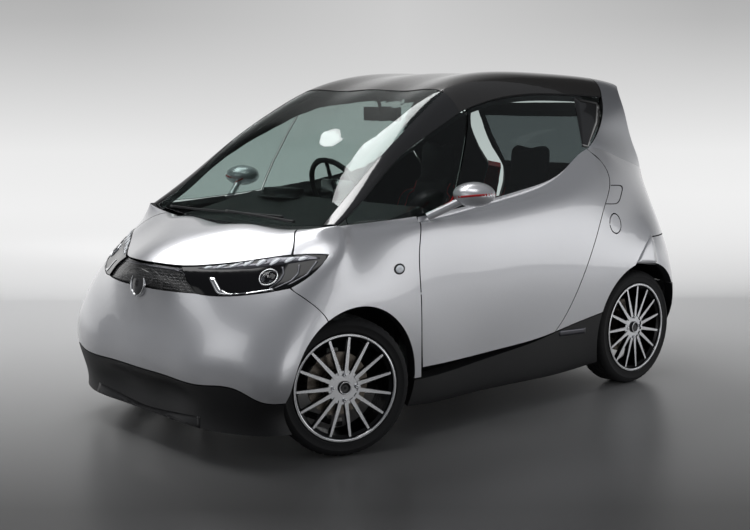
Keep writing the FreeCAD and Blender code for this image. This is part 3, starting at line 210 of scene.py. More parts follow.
def inward(finish):
    """1 where a face looks into the car, 0 where it looks out."""
    place = finish.place()
    parts = finish.tree.nodes.new("ShaderNodeSeparateXYZ")
    finish.tree.links.new(place.socket, parts.inputs[0])
    along = Value(finish, parts.outputs[0]).least(SPINE_REACH).most(-SPINE_REACH)
    spine = finish.node("ShaderNodeCombineXYZ", {}, {0: along, 2: SPINE_HEIGHT})
    away = finish.vector("NORMALIZE", finish.vector("SUBTRACT", place, spine))
    return 1 - finish.vector("DOT_PRODUCT", finish.facing(), away, 1).over(0.1)


def painted(name, colour, metal, roughness, flake, lined=True):
    """Lacquer over metal flakes outside, dark grained lining inside."""
    finish = Finish(name, coat_weight=1.0, coat_roughness=0.025)
    lining = inward(finish) if lined else 0.0
    specks = finish.node("ShaderNodeTexVoronoi", {}, {"Vector": finish.place(), "Scale": 1400.0}, 0)
    cloud = finish.noise(3.0, 4.0)
    tint = finish.blend(specks * flake, (*colour, 1), tuple(c * 1.25 for c in colour) + (1,))
    tint = finish.blend(cloud * 0.08, tint, tuple(c * 0.8 for c in colour) + (1,))
    finish.look(base_color=finish.blend(lining, tint, LINING), metallic=(1 - lining) * metal,
                roughness=lining * (0.7 - roughness) + roughness + cloud * 0.04, coat_weight=1 - lining)
    finish.rough_by(specks * 0.3 + finish.noise(900.0) * lining, 0.06, 0.0004)
    return finish.material


silver = painted("silver_lacquer", (0.68, 0.685, 0.71), 0.5, 0.3, 0.5)
# The roof hoop wears the body's silver, painted darker here: painted shade on the hoop.
hoop_shaded_silver = painted("hoop_shaded_lacquer", (0.40, 0.41, 0.435), 0.6, 0.3, 0.5)
gloss_black = painted("gloss_black", (0.012, 0.012, 0.013), 0.0, 0.12, 0.2)
mirror_silver = painted("mirror_lacquer", (0.68, 0.685, 0.71), 0.5, 0.3, 0.5, False)
roof_black = painted("roof_black", (0.05, 0.047, 0.045), 0.5, 0.22, 0.6)
lamp_cover = Finish("lamp_cover", base_color=(0.004, 0.004, 0.005, 1), specular_ior_level=0.3)
lamp_cover.look(roughness=lamp_cover.noise(40.0) * 0.06 + 0.05)
print("five lacquers and the lamp cover")

# %% [markdown]
# Grained plastic covers the bumper foot and the sills. Fine noise gives the grain, and a slow
# noise the dusty, slightly lighter areas that bare plastic always has.

# %% Plastics
def grained(name, colour, roughness, scale, depth):
    finish = Finish(name)
    grain = finish.noise(scale, 3.0)
    dust = finish.noise(7.0, 5.0)
    paler = tuple(c * 1.4 + 0.002 for c in colour) + (1,)
    finish.look(base_color=finish.blend(dust * 0.6, (*colour, 1), paler), roughness=roughness + dust * 0.15)
    finish.rough_by(grain, depth, 0.0006)
    return finish.material


dark_trim = grained("dark_trim", (0.007, 0.007, 0.008), 0.42, 650.0, 0.35)
underbody = grained("underbody", (0.01, 0.01, 0.01), 0.75, 120.0, 0.5)
cabin_plastic = grained("cabin_plastic", (0.02, 0.021, 0.022), 0.5, 800.0, 0.4)
seat_cloth = grained("seat_cloth", (0.014, 0.014, 0.015), 0.85, 420.0, 0.8)
red_piping = grained("red_piping", (0.42, 0.012, 0.018), 0.6, 900.0, 0.5)
print("plastics and cloth")

# %% [markdown]
# The panes are thin solids with two faces, so light bends in and out as in a real pane.
# The tint sits on the shader's own sockets, because it is the same all over the pane.

# %% Glass
def pane(name, colour):
    finish = Finish(name, base_color=(*colour, 1), transmission_weight=1.0, ior=1.35)
    smear = finish.noise(5.0, 3.0)
    finish.look(roughness=smear * 0.012)
    return finish.material


tinted = pane("tinted_glass", (0.58, 0.66, 0.64))
dark_tinted = pane("dark_tinted_glass", (0.12, 0.135, 0.14))
print("two kinds of glass")

# %% [markdown]
# Bright parts are machined or polished metal. Rings from turning are drawn by the distance
# from the wheel's axle, so that they run round the hub as the tool did.

# %% Metals
def bright(name, colour, roughness):
    finish = Finish(name, metallic=1.0)
    wear = finish.noise(60.0, 4.0)
    finish.look(base_color=finish.blend(wear * 0.3, (*colour, 1), tuple(c * 0.7 for c in colour) + (1,)),
                roughness=wear * 0.1 + roughness)
    finish.rough_by(finish.noise(700.0), 0.08, 0.0003)
    return finish.material


chrome = bright("chrome", (0.82, 0.83, 0.85), 0.06)
steel = bright("steel", (0.32, 0.31, 0.30), 0.38)
smoked_metal = bright("smoked_metal", (0.13, 0.13, 0.145), 0.25)


def turned(name, centre, axle, face, pocket, limit):
    """Machined bright where a face looks along the axle, dark elsewhere."""
    finish = Finish(name)
    out = abs(finish.vector("DOT_PRODUCT", finish.facing(), tuple(axle), 1))
    mask = out.over(limit)
    spoke = finish.vector("SUBTRACT", finish.place(), tuple(centre))
    radius = finish.vector("LENGTH", spoke, output=1)
    rings = finish.node("ShaderNodeMath", {"operation": "SINE"}, [radius * 5200.0])
    finish.look(base_color=finish.blend(mask, (*pocket, 1), (*face, 1)), metallic=mask * 0.6 + 0.4,
                roughness=0.3 - mask * 0.1 + rings * 0.03)
    finish.rough_by(rings * mask, 0.12, 0.0002)
    return finish.material


print("metals")

# %% [markdown]
# The wheels are found from the record: the joint gives the middle of each wheel and the bolt
# mount gives the way out. Everything on a wheel is then drawn once, with its axle along Y.

# %% Wheel frames
CORNERS = ("front_left", "front_right", "rear_left", "rear_right")
middle_of = {joint["child"]: Vector(joint["pos_m"]) for joint in record["behaviour"]["joints"]}
out_of = {mount["name"]: Vector(mount["axis"]) for mount in record["mounts"]}
wheels = {}
for corner in CORNERS:
    out = out_of["wheel_bolts_" + corner].normalized()
    ahead = Vector((out.y, -out.x, 0))
    turn = Matrix((ahead, out, Vector((0, 0, 1)))).transposed().to_4x4()
    wheels[corner] = Matrix.Translation(middle_of["wheel_" + corner]) @ turn
    print(corner, [round(c, 3) for c in out])

# %% Small mesh helpers
def piece(name, verts, faces, finish, body, smooth=True):
    """A mesh object that rides on a CAD body."""
    mesh = bpy.data.meshes.new(name)
    mesh.from_pydata([tuple(v) for v in verts], [], faces)
    mesh.update()
    work = bmesh.new()
    work.from_mesh(mesh)
    bmesh.ops.recalc_face_normals(work, faces=work.faces)
    work.to_mesh(mesh)
    work.free()
    for polygon in mesh.polygons:
        polygon.use_smooth = smooth
    mesh.materials.append(finish)
    made = bpy.data.objects.new(name, mesh)
    scene.collection.objects.link(made)
    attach(made, body)
    return made


def lathe(profile, count, wave=None):
    """Vertices and faces of a closed outline of (y, radius) turned about the y axis."""
    verts, faces = [], []
    for i in range(count):
        angle = 2 * math.pi * i / count
        for j, (y, radius) in enumerate(profile):
            reach = radius - (wave(i, j) if wave else 0)
            verts.append(Vector((reach * math.cos(angle), y, reach * math.sin(angle))))
    size = len(profile)
    for i in range(count):
        for j in range(size):
            a, b = i * size + j, i * size + (j + 1) % size
            c, d = (i + 1) % count * size + (j + 1) % size, (i + 1) % count * size + j
            faces.append((a, b, c, d))
    return verts, faces


print("helpers ready")

# %% [markdown]
# A tyre is a turned outline with grooves cut into the tread. The grooves round the tyre are
# part of the outline. The slots across it are made while turning: at every fourth step the
# tread points sink a few millimetres, and the step shifts across the tread to slant the slots.

# %% Tyre
TREAD = 0.272
TREAD_SPAN = (-0.0345, 0.0645)
GROOVES = (-0.018, 0.006, 0.030, 0.053)
GROOVE_DEPTH, GROOVE_HALF = 0.006, 0.003
TYRE_STEPS = 208


def tyre_outline():
    inside = [(-0.0495, 0.2022), (-0.0495, 0.2105), (-0.0560, 0.2150), (-0.0600, 0.2300), (-0.0622, 0.2460),
              (-0.0590, 0.2560), (-0.0525, 0.2640), (-0.0430, 0.2693)]
    tread = [(TREAD_SPAN[0], TREAD)]
    for groove in GROOVES:
        for shift, depth in ((-1.3, 0), (-1, GROOVE_DEPTH), (1, GROOVE_DEPTH), (1.3, 0)):
            tread.append((groove + shift * GROOVE_HALF, TREAD - depth))
        tread.append((groove + 0.012, TREAD))
    tread[-1] = (TREAD_SPAN[1], TREAD)
    outside = [(0.0730, 0.2693), (0.0822, 0.2640), (0.0885, 0.2560), (0.0915, 0.2470), (0.0922, 0.2455),
               (0.0922, 0.2440), (0.0912, 0.2425), (0.0910, 0.2300), (0.0900, 0.2220), (0.0908, 0.2195),
               (0.0898, 0.2170), (0.0850, 0.2130), (0.0835, 0.2105), (0.0835, 0.2022)]
    return inside + tread + outside, len(inside), len(inside) + len(tread)


outline, first_tread, last_tread = tyre_outline()


def slots(i, j):
    if first_tread - 2 <= j < last_tread + 2 and (i + j // 3) % 4 == 0:
        return 0.0035
    return 0


rubber = grained("rubber", (0.007, 0.007, 0.008), 0.68, 500.0, 0.3)
verts, faces = lathe(outline, TYRE_STEPS, slots)
for corner, wheel in wheels.items():
    tyre = piece("tread_" + corner, [wheel @ v for v in verts], faces, rubber, "wheel_" + corner)
    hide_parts("tyre_" + corner)
print("each tyre has", len(faces), "faces")

# %% [markdown]
# The CAD rims keep their fifteen spokes. Here they only get their finish, bright on the machined
# front and black in the pockets, and the four bolts, the plain centre cap and the bright rim lip.

# %% Wheel dress
FACE_OUT = 0.083
BOLT_CIRCLE = 0.05
FACING = 0.9
RIM_TONES = ((0.80, 0.81, 0.83), (0.006, 0.006, 0.007))
DISC_TONES = ((0.16, 0.14, 0.12), (0.05, 0.045, 0.04))
cap_black = grained("cap_black", (0.01, 0.01, 0.011), 0.25, 300.0, 0.1)


def bolt_outline(radius, base, tip):
    return [(base, 0.0), (base, radius), (tip - 0.002, radius), (tip, radius * 0.8), (tip, radius * 0.35),
            (tip - 0.004, radius * 0.3), (tip - 0.004, 0.0)]


for corner, wheel in wheels.items():
    out = (wheel.to_3x3() @ Vector((0, 1, 0))).normalized()
    for kind, (face, pocket) in (("rim_", RIM_TONES), ("disc_", DISC_TONES)):
        metal = turned(kind + "finish_" + corner, wheel.translation, out, face, pocket, FACING)
        nodes[kind + corner].data.materials.clear()
        nodes[kind + corner].data.materials.append(metal)
    verts, faces = [], []
    for k in range(4):
        at = Matrix.Rotation(math.pi / 2 * k, 4, "Y") @ Matrix.Translation((BOLT_CIRCLE, 0, 0))
        some, ring = lathe(bolt_outline(0.0085, FACE_OUT - 0.02, FACE_OUT + 0.003), 18)
        faces += [tuple(index + len(verts) for index in face) for face in ring]
        verts += [wheel @ at @ v for v in some]
    piece("wheel_bolts_" + corner, verts, faces, chrome, "wheel_" + corner)
    some, ring = lathe([(0.062, 0.0), (0.062, 0.0268), (0.084, 0.0268), (0.087, 0.025), (0.0875, 0.021),
                        (0.085, 0.0195), (0.084, 0.012), (0.0845, 0.0)], 48)
    piece("wheel_cap_" + corner, [wheel @ v for v in some], ring, cap_black, "wheel_" + corner)
    some, ring = lathe([(0.0852, 0.0202), (0.0852, 0.0252), (0.0885, 0.0245), (0.0892, 0.0228), (0.0885, 0.021)], 48)
    piece("cap_ring_" + corner, [wheel @ v for v in some], ring, chrome, "wheel_" + corner)
    some, ring = lathe([(0.0855, 0.1995), (0.0895, 0.2), (0.0925, 0.2025), (0.0925, 0.2065), (0.0895, 0.2085),
                        (0.0855, 0.209)], 160)
    piece("rim_lip_" + corner, [wheel @ v for v in some], ring, chrome, "wheel_" + corner)
    print(corner, "bolts, cap and lip")

# %% [markdown]
# The CAD pieces get their finishes by name.

# %% Finishes of the CAD pieces
DRESS = {
    "front_bumper": silver, "front_wings": silver, "bonnet": silver, "rear_quarter_left": silver,
    "rear_quarter_right": silver, "filler_flap": silver, "door_left": silver, "door_right": silver,
    "mirror_left": mirror_silver, "mirror_right": mirror_silver, "rear_bumper": silver, "roof_hoop": hoop_shaded_silver,
    "front_valance": dark_trim, "rear_valance": dark_trim, "sills": dark_trim, "grille": gloss_black,
    "headlamps": lamp_cover.material, "roof": roof_black, "screen_pillars": gloss_black, "tailgate": gloss_black,
    "windscreen": tinted, "quarter_glass": tinted, "door_glass_left": tinted, "door_glass_right": tinted,
    "tailgate_glass": dark_tinted, "floor_pan": underbody, "motor": underbody, "front_axle": underbody,
    "rear_axle": underbody, "knuckle_left": steel, "knuckle_right": steel, "dashboard": cabin_plastic,
    "steering_wheel": cabin_plastic, "cabin_mirror": cabin_plastic,
}
for name, finish in DRESS.items():
    nodes[name].data.materials.clear()
    nodes[name].data.materials.append(finish)
print(len(DRESS), "CAD pieces dressed")

# %% [markdown]
# Small trim lies on the body like a sticker with thickness. Its outline is given in points of the
# picture, and each point is sent along the line of sight until it meets the panel that carries
# it. The same shape is then mirrored to the other side of the car.

# %% Trim that follows the body
TRY_FROM, TRY_STEP, TRIES = 3.4, 0.04, 110
skins = {}


def skin(name):
    if name not in skins:
        mesh = nodes[name].data
        skins[name] = BVHTree.FromPolygons([v.co for v in mesh.vertices], [p.vertices for p in mesh.polygons])
    return skins[name]


def sight(x, y):
    """The way a picture point looks, from the eye."""
    return (forward * FOCUS + rightward * (x - PICTURE[0] / 2) - upward * (y - PICTURE[1] / 2)).normalized()


def meet(name, start, way):
    """Where a ray meets a panel, and the way out there; the nearest place if it misses."""
    point, normal, _, _ = skin(name).ray_cast(start, way)
    if point is None:
        tries = [skin(name).find_nearest(start + way * (TRY_FROM + TRY_STEP * k)) for k in range(TRIES)]
        point, normal, _, _ = min(tries, key=lambda found: found[3])
    return point, normal if normal.dot(way) < 0 else -normal


def evenly(line, count):
    """A line of points laid out again at even steps."""
    line = [Vector(p) for p in line]
    steps = [(b - a).length for a, b in zip(line, line[1:])]
    places = []
    for k in range(count):
        left = sum(steps) * k / (count - 1)
        i = 0
        while i < len(steps) - 1 and left > steps[i]:
            left -= steps[i]
            i += 1
        places.append(line[i].lerp(line[i + 1], left / steps[i]))
    return places


def sights(upper, lower, along=16, across=3):
    """Rays that fill the strip between two lines of the picture."""
    pairs = zip(evenly(upper, along), evenly(lower, along))
    return [[(EYE, sight(*a.lerp(b, k / (across - 1)))) for k in range(across)] for a, b in pairs]


def sheet_on(name, rays, panel_name, finish, bodies, lift=0.0010, thick=0.003, closed=False):
    """A thin solid on a panel; two bodies mean one piece on the left and one on the right."""
    top, low = [], []
    for row in rays:
        for start, way in row:
            point, normal = meet(panel_name, start, way)
            top.append(point + normal * lift)
            low.append(point - normal * thick)
    wide, count = len(rays[0]), len(rays)
    faces = []
    for i in range(count if closed else count - 1):
        for j in range(wide - 1):
            a, b = i * wide + j, i * wide + j + 1
            c, d = (i + 1) % count * wide + j + 1, (i + 1) % count * wide + j
            faces += [(a, b, c, d), tuple(k + len(top) for k in (d, c, b, a))]
    edges = [(a, b) for face in faces[::2] for a, b in zip(face, face[1:] + face[:1])]
    known = set(edges)
    rim = [(a, b) for a, b in edges if (b, a) not in known]
    faces += [(b, a, a + len(top), b + len(top)) for a, b in rim]
    for side, body in zip((1, -1), bodies):
        verts = [Vector((v.x, v.y * side, v.z)) for v in top + low]
        label = name + ("" if len(bodies) == 1 else "_left" if side > 0 else "_right")
        made = piece(label, verts, faces, finish, body)
        for polygon in made.data.polygons[len(faces) - len(rim):]:
            polygon.use_smooth = False


def stud(name, x, y, panel_name, profile, finish, bodies, count=40, stretch=1.0):
    """A turned shape that stands on a panel; its profile is (height, radius)."""
    point, normal = meet(panel_name, EYE, sight(x, y))
    across = Vector((0, 0, 1)).cross(normal).normalized()
    frame_of = Matrix((across, normal, across.cross(normal))).transposed()
    some, ring = lathe(profile, count)
    verts = [point + frame_of @ Vector((v.x * stretch, v.y, v.z)) for v in some]
    for side, body in zip((1, -1), bodies):
        label = name + ("" if len(bodies) == 1 else "_left" if side > 0 else "_right")
        piece(label, [Vector((v.x, v.y * side, v.z)) for v in verts], ring, finish, body)


def tube(points, radius, sides=8):
    """A round cord through points, closed at both ends."""
    verts, faces = [], []
    for k, at in enumerate(points):
        way = (points[min(k + 1, len(points) - 1)] - points[max(k - 1, 0)]).normalized()
        first = way.orthogonal().normalized() if k == 0 else (first - way * first.dot(way)).normalized()
        second = way.cross(first)
        for s in range(sides):
            angle = 2 * math.pi * s / sides
            verts.append(at + (first * math.cos(angle) + second * math.sin(angle)) * radius)
    for k in range(len(points) - 1):
        for s in range(sides):
            a, b = k * sides + s, k * sides + (s + 1) % sides
            faces.append((a, b, b + sides, a + sides))
    faces += [tuple(range(sides))[::-1], tuple(range(len(verts) - sides, len(verts)))]
    return verts, faces


BODY = ("car_body",)
PAIR = ("car_body", "car_body")
DOORS = ("door_left", "door_right")
print("trim can be laid")

# %% [markdown]
# Behind each lamp's cover sits a strip of light guides, a round projector lens and a bright
# blade that sweeps round it. All of it follows the curve of the lamp. The guides glow softly.

# %% Headlamps
glow = Finish("light_guide", base_color=(0.75, 0.78, 0.8, 1), roughness=0.15, coat_weight=1.0)
ribs = glow.node("ShaderNodeTexWave", {"bands_direction": "Y"}, {"Vector": glow.place(), "Scale": 90.0})
glow.look(emission_color=glow.blend(ribs, (0.16, 0.17, 0.19, 1), (0.5, 0.53, 0.57, 1)), emission_strength=0.6)
lens_glass = pane("lens_glass", (0.55, 0.6, 0.66))
LED_UPPER = [(198, 268.4), (221, 262.5), (243, 257), (269, 253.7), (297, 253.7), (320, 257.7)]
LED_LOWER = [(204, 269.2), (218, 269.7), (249, 269), (273, 266), (297, 262.5), (320, 258.9)]
sheet_on("lamp_strip", sights(LED_UPPER, LED_LOWER, 28, 4), "headlamps", smoked_metal, PAIR, 0.0006)
GUIDES = (((204, 268.4), (211, 266.4)), ((216, 268), (225.5, 264)), ((228.7, 267.3), (240, 261.4)),
          ((243, 266), (251, 260)), ((256, 265.7), (264, 259.4)), ((269.4, 265), (278, 258.3)),
          ((284.5, 262.5), (292.5, 257.4)), ((298, 260.5), (305, 257.2)))
for k, (foot, head) in enumerate(GUIDES):
    wide = 3.2 if k > 1 else 2.0
    mid_x, mid_y = (foot[0] + head[0]) / 2, (foot[1] + head[1]) / 2
    upper = [foot, (mid_x - wide * 0.3, mid_y - wide * 0.5), head]
    lower = [(foot[0] + 1.6, foot[1] + 0.5), (mid_x + wide * 0.9, mid_y + wide * 0.35),
             (head[0] + wide, head[1] + 0.8)]
    sheet_on("light_guide_%d" % k, sights(upper, lower, 6, 3), "headlamps", glow.material, PAIR, 0.0026)
BLADE_OUT = [(208.6, 277.4), (216, 292.6), (226.6, 298.8), (240, 298.2), (256, 295.6), (273.4, 290.4)]
BLADE_IN = [(214.6, 277.8), (221, 290), (229, 294), (241, 293.4), (256, 291.6), (273.4, 288.4)]
sheet_on("lamp_blade", sights(BLADE_OUT, BLADE_IN, 26, 4), "headlamps", chrome, PAIR, 0.0022)
for k, arc in enumerate(([(283.7, 267.3), (284.4, 274), (281.3, 280), (270, 289)],
                         [(300.5, 265), (299, 274), (292.5, 281), (275, 289)],
                         [(318, 261.7), (308, 275), (289, 285.6)])):
    inner = [(x - 1.9, y - 0.3) for x, y in arc]
    sheet_on("lamp_arc_%d" % k, sights(arc, inner, 18, 3), "headlamps", smoked_metal, PAIR, 0.0018)
stud("projector_ring", 268.6, 277.6, "headlamps", [(-0.01, 0.037), (0.002, 0.0385), (0.0045, 0.037), (0.004, 0.0335),
     (-0.01, 0.0325)], chrome, PAIR, 56)
stud("projector_lens", 268.6, 277.6, "headlamps", [(-0.004, 0.0), (-0.004, 0.0322), (0.0002, 0.0322), (0.0032, 0.026),
     (0.0052, 0.017), (0.0062, 0.008), (0.0064, 0.0)], lens_glass, PAIR, 56)
print("headlamps:", len(GUIDES), "light guides a side")

# %% [markdown]
# The grille is a gloss black band with fine mesh between bright lines. Its badge is left plain:
# a ring round a bare disc, crowned like an enamelled one.

# %% Grille and plain badge
mesh_black = Finish("grille_mesh", coat_weight=0.5, coat_roughness=0.1, roughness=0.3)
cells = mesh_black.node("ShaderNodeTexVoronoi", {"feature": "DISTANCE_TO_EDGE"}, {"Vector": mesh_black.place(),
                        "Scale": 95.0, "Randomness": 0.15})
bars = 1 - (cells * 5.0).least(1)
# The recessed cells between the bars are painted near black: painted shade in the mesh.
mesh_and_shade_colour = mesh_black.blend(bars, (0.002, 0.002, 0.002, 1), (0.05, 0.05, 0.052, 1))
mesh_black.look(base_color=mesh_and_shade_colour, metallic=bars * 0.5)
mesh_black.rough_by(bars, 0.8, 0.004)
nodes["grille"].data.materials.clear()
nodes["grille"].data.materials.append(mesh_black.material)
TOP_LINE = [(118, 257.8), (134.6, 261.7), (152, 265.6), (172, 268.2), (192, 270.2)]
sheet_on("grille_line", sights(TOP_LINE, [(x, y + 1.5) for x, y in TOP_LINE], 24, 3), "grille", smoked_metal,
         PAIR, 0.002)
BADGE_HEIGHT, BADGE_TILT = 0.648, math.radians(12)
front = [skin(name).ray_cast(Vector((3, 0, BADGE_HEIGHT + dz)), Vector((-1, 0, 0)))[0]
         for name in ("grille", "front_bumper") for dz in (-0.045, 0.0, 0.045)]
point = Vector((max(hit.x for hit in front if hit) - 0.003, 0, BADGE_HEIGHT))
normal = Vector((math.cos(BADGE_TILT), 0, math.sin(BADGE_TILT)))
badge_turn = Matrix((Vector((0, 1, 0)), normal, Vector((0, 1, 0)).cross(normal))).transposed()
enamel = Finish("badge_enamel", base_color=(0.02, 0.02, 0.022, 1), coat_weight=1.0)
enamel.look(roughness=enamel.noise(80.0) * 0.2 + 0.2, metallic=0.4)
RING = [(-0.008, 0.0440), (-0.008, 0.0520), (0.006, 0.0520), (0.0085, 0.0495), (0.0088, 0.0470), (0.0065, 0.0440)]
DISC = [(-0.008, 0.0), (-0.008, 0.0440), (0.0050, 0.0440), (0.0062, 0.036), (0.0074, 0.022), (0.0080, 0.0)]
for label, outline_of, finish in (("badge_ring", RING, chrome), ("badge_disc", DISC, enamel.material)):
    some, ring = lathe(outline_of, 72)
    piece(label, [point + badge_turn @ v for v in some], ring, finish, "car_body")
print("badge stands at", [round(c, 3) for c in point])

# %% [markdown]
# The mirrors carry a thin red line, the wings a small side lamp, the rear quarter a handle flap
# and the sill a blank plate. These are the details that tell the eye how large the car is.

# %% Side trim
red_line = grained("red_line", (0.55, 0.012, 0.014), 0.35, 500.0, 0.08)
LINE = [(436, 205.0), (441, 200.2), (448.2, 197.0), (475, 194.6), (494, 193.4), (503, 193.0)]
sheet_on("mirror_line", sights(LINE, [(x + 0.4, y + 2.1) for x, y in LINE], 26, 3), "mirror_left", red_line, DOORS,
         0.0003, 0.002)
SIDE_LAMP = (399.5, 269)
stud("side_lamp_frame", *SIDE_LAMP, "front_wings", [(-0.004, 0.0), (-0.004, 0.0215), (0.0015, 0.0215),
     (0.003, 0.0195), (0.003, 0.0165), (0.0018, 0.0155), (0.0018, 0.0)], cap_black, PAIR, 44, 1.35)
stud("side_lamp", *SIDE_LAMP, "front_wings", [(0.0012, 0.0), (0.0012, 0.0155), (0.0028, 0.015), (0.0042, 0.009),
     (0.0046, 0.0)], glow.material, PAIR, 44, 1.35)


def loop(x, y, half_wide, half_high, corner, lean=0.0, count=44):
    """A rounded rectangle in the picture."""
    line = []
    for k in range(count):
        angle = 2 * math.pi * k / count
        c, s = math.cos(angle), math.sin(angle)
        px = math.copysign(abs(c) ** corner, c) * half_wide
        py = math.copysign(abs(s) ** corner, s) * half_high
        line.append((x + px + lean * py, y + py))
    return line


def rim_rays(outer, inner):
    return [[(EYE, sight(*a)), (EYE, sight(*b))] for a, b in zip(outer, inner)]


FLAP_OUT = (613.0, 194.6, 8.6, 9.8, 0.5, -0.25)
FLAP_IN = (613.0, 194.6, 7.7, 8.9, 0.5, -0.25)
gap_black = grained("gap_black", (0.006, 0.006, 0.007), 0.7, 300.0, 0.1)
sheet_on("handle_gap", rim_rays(loop(*FLAP_OUT), loop(*FLAP_IN)), "rear_quarter_left", gap_black, PAIR,
         0.0004, 0.002, True)
sheet_on("sill_plate", sights([(559, 330.6), (585.5, 327.6)], [(559.5, 336.4), (585.5, 333.0)], 14, 4), "sills",
         smoked_metal, PAIR, 0.0012)
PLATE_FRONT = [(574, 98), (578, 122), (582.5, 147)]
PLATE_BACK = [(601.5, 103.5), (599.5, 122), (587.5, 148)]
sheet_on("rear_plate", sights(PLATE_FRONT, PLATE_BACK, 16, 6), "door_glass_left", gloss_black, DOORS, 0.0009, 0.001)
print("side trim is on")

# %% [markdown]
# Behind each rear wheel arch the quarter and the bumper of the CAD leave an open wedge that the
# photograph doesn't show, so a thin curved patch joins the two edges.

# %% Rear flares
QUARTER_EDGE = [(650.4, 235.5), (645.0, 246.0), (636.8, 263.0)]
BUMPER_EDGE = [(652.6, 237.0), (655.2, 248.0), (657.5, 264.5)]
FLARE_ROWS, FLARE_ACROSS, FLARE_THICK = 14, 7, 0.003


def flare_points():
    rows = []
    for a, b in zip(evenly(QUARTER_EDGE, FLARE_ROWS), evenly(BUMPER_EDGE, FLARE_ROWS)):
        p, out_p = meet("rear_quarter_left", EYE, sight(*a))
        q, out_q = meet("rear_bumper", EYE, sight(*b))
        for k in range(FLARE_ACROSS):
            share = k / (FLARE_ACROSS - 1)
            rows.append((p.lerp(q, share), out_p.lerp(out_q, share).normalized(), 4 * share * (1 - share)))
    return rows


top = [at + out * (0.0012 + 0.002 * swell) for at, out, swell in flare_points()]
low = [at - out * FLARE_THICK for at, out, _ in flare_points()]
size, wide = len(top), FLARE_ACROSS
faces = [(i * wide + j, i * wide + j + 1, (i + 1) * wide + j + 1, (i + 1) * wide + j)
         for i in range(FLARE_ROWS - 1) for j in range(wide - 1)]
faces += [tuple(k + size for k in face[::-1]) for face in faces]
ring = list(range(wide)) + [i * wide + wide - 1 for i in range(1, FLARE_ROWS)]
ring += list(range(size - 2, size - wide - 1, -1)) + [i * wide for i in range(FLARE_ROWS - 2, 0, -1)]
faces += [(a, b, b + size, a + size) for a, b in zip(ring, ring[1:] + ring[:1])]
for side, label in ((1, "left"), (-1, "right")):
    verts = [Vector((v.x, v.y * side, v.z)) for v in top + low]
    piece("rear_flare_" + label, verts, faces, mirror_silver, "car_body")
print("flares start at", [round(c, 3) for c in top[0]])

# %% [markdown]
# The black foot of the nose has a shallow gloss intake, and one long wiper lies along the foot
# of the windscreen: a flat blade carrier with a rubber edge.

# %% Intake and wiper
INTAKE_TOP = [(100, 391), (120, 398), (160, 409), (200, 417)]
INTAKE_FOOT = [(104, 399), (122, 408), (160, 420), (200, 428)]
sheet_on("intake", sights(INTAKE_TOP, INTAKE_FOOT, 30, 4), "front_valance", cap_black, PAIR, 0.0008, 0.003)
WIPER = [(172, 207.5), (200, 211.0), (240, 214.5), (284, 218.5)]


def over_screen(line, lift, count=40):
    found = [meet("windscreen", EYE, sight(*p)) for p in evenly(line, count)]
    return [at + out * lift for at, out in found]


verts, faces = tube(over_screen(WIPER, 0.010), 0.0045, 10)
piece("wiper_blade", verts, faces, cap_black, "car_body")
verts, faces = tube(over_screen(WIPER, 0.0035), 0.0022, 6)
piece("wiper_rubber", verts, faces, rubber, "car_body")
verts, faces = tube(over_screen([(228, 213.6), (262, 219.0), (296, 225.0)], 0.016, 24), 0.0055, 10)
piece("wiper_arm", verts, faces, cap_black, "car_body")
print("wiper is laid")

# %% [markdown]
# The seats are foam under black cloth. A box with rounded edges would look like wood, so each
# seat is built from blocks, fused into one skin, and then blown up a little by a cloth
# simulation with pressure. Points on the sewn seams are held, so the cloth puffs up between them.

# %% Seat blocks
low_corner, high_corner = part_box("seat_left")
SEAT_X, SEAT_Z = high_corner.x, low_corner.z - 0.11
SEAT_Y = (low_corner.y + high_corner.y) / 2
BLOCKS = (
    (-0.135, 0.135, [(-0.46, 0.125), (-0.012, 0.125), (-0.012, 0.275), (-0.46, 0.235)]),
    (-0.222, -0.138, [(-0.44, 0.125), (-0.035, 0.125), (-0.035, 0.300), (-0.44, 0.285)]),
    (0.138, 0.222, [(-0.44, 0.125), (-0.035, 0.125), (-0.035, 0.300), (-0.44, 0.285)]),
    (-0.130, 0.130, [(-0.53, 0.150), (-0.42, 0.220), (-0.585, 0.790), (-0.665, 0.790)]),
    (-0.220, -0.134, [(-0.52, 0.190), (-0.375, 0.260), (-0.560, 0.715), (-0.660, 0.730)]),
    (0.134, 0.220, [(-0.52, 0.190), (-0.375, 0.260), (-0.560, 0.715), (-0.660, 0.730)]),
    (-0.115, 0.115, [(-0.665, 0.770), (-0.592, 0.770), (-0.606, 0.975), (-0.662, 0.982)]),
)


def seat_skin():
    work = bmesh.new()
    for near, beyond, side_view in BLOCKS:
        ring = [[work.verts.new((x, y, z)) for x, z in side_view] for y in (near, beyond)]
        work.faces.new(ring[0])
        work.faces.new(ring[1][::-1])
        for k in range(4):
            work.faces.new((ring[0][k], ring[1][k], ring[1][(k + 1) % 4], ring[0][(k + 1) % 4]))
    bmesh.ops.recalc_face_normals(work, faces=work.faces)
    bmesh.ops.bevel(work, geom=work.edges[:] + work.verts[:], offset=0.018, segments=3, affect="EDGES")
    mesh = bpy.data.meshes.new("seat_skin")
    work.to_mesh(mesh)
    work.free()
    return mesh


def settled(made):
    """The object's mesh after its modifiers."""
    bpy.context.view_layer.update()
    return bpy.data.meshes.new_from_object(made.evaluated_get(bpy.context.evaluated_depsgraph_get()))


raw = bpy.data.objects.new("seat_raw", seat_skin())
scene.collection.objects.link(raw)
remesh = raw.modifiers.new("one skin", "REMESH")
remesh.mode, remesh.voxel_size = "VOXEL", 0.0125
smooth = raw.modifiers.new("soften", "SMOOTH")
smooth.factor, smooth.iterations = 0.5, 3
raw.data = settled(raw)
raw.modifiers.clear()
print("the fused seat has", len(raw.data.vertices), "points")

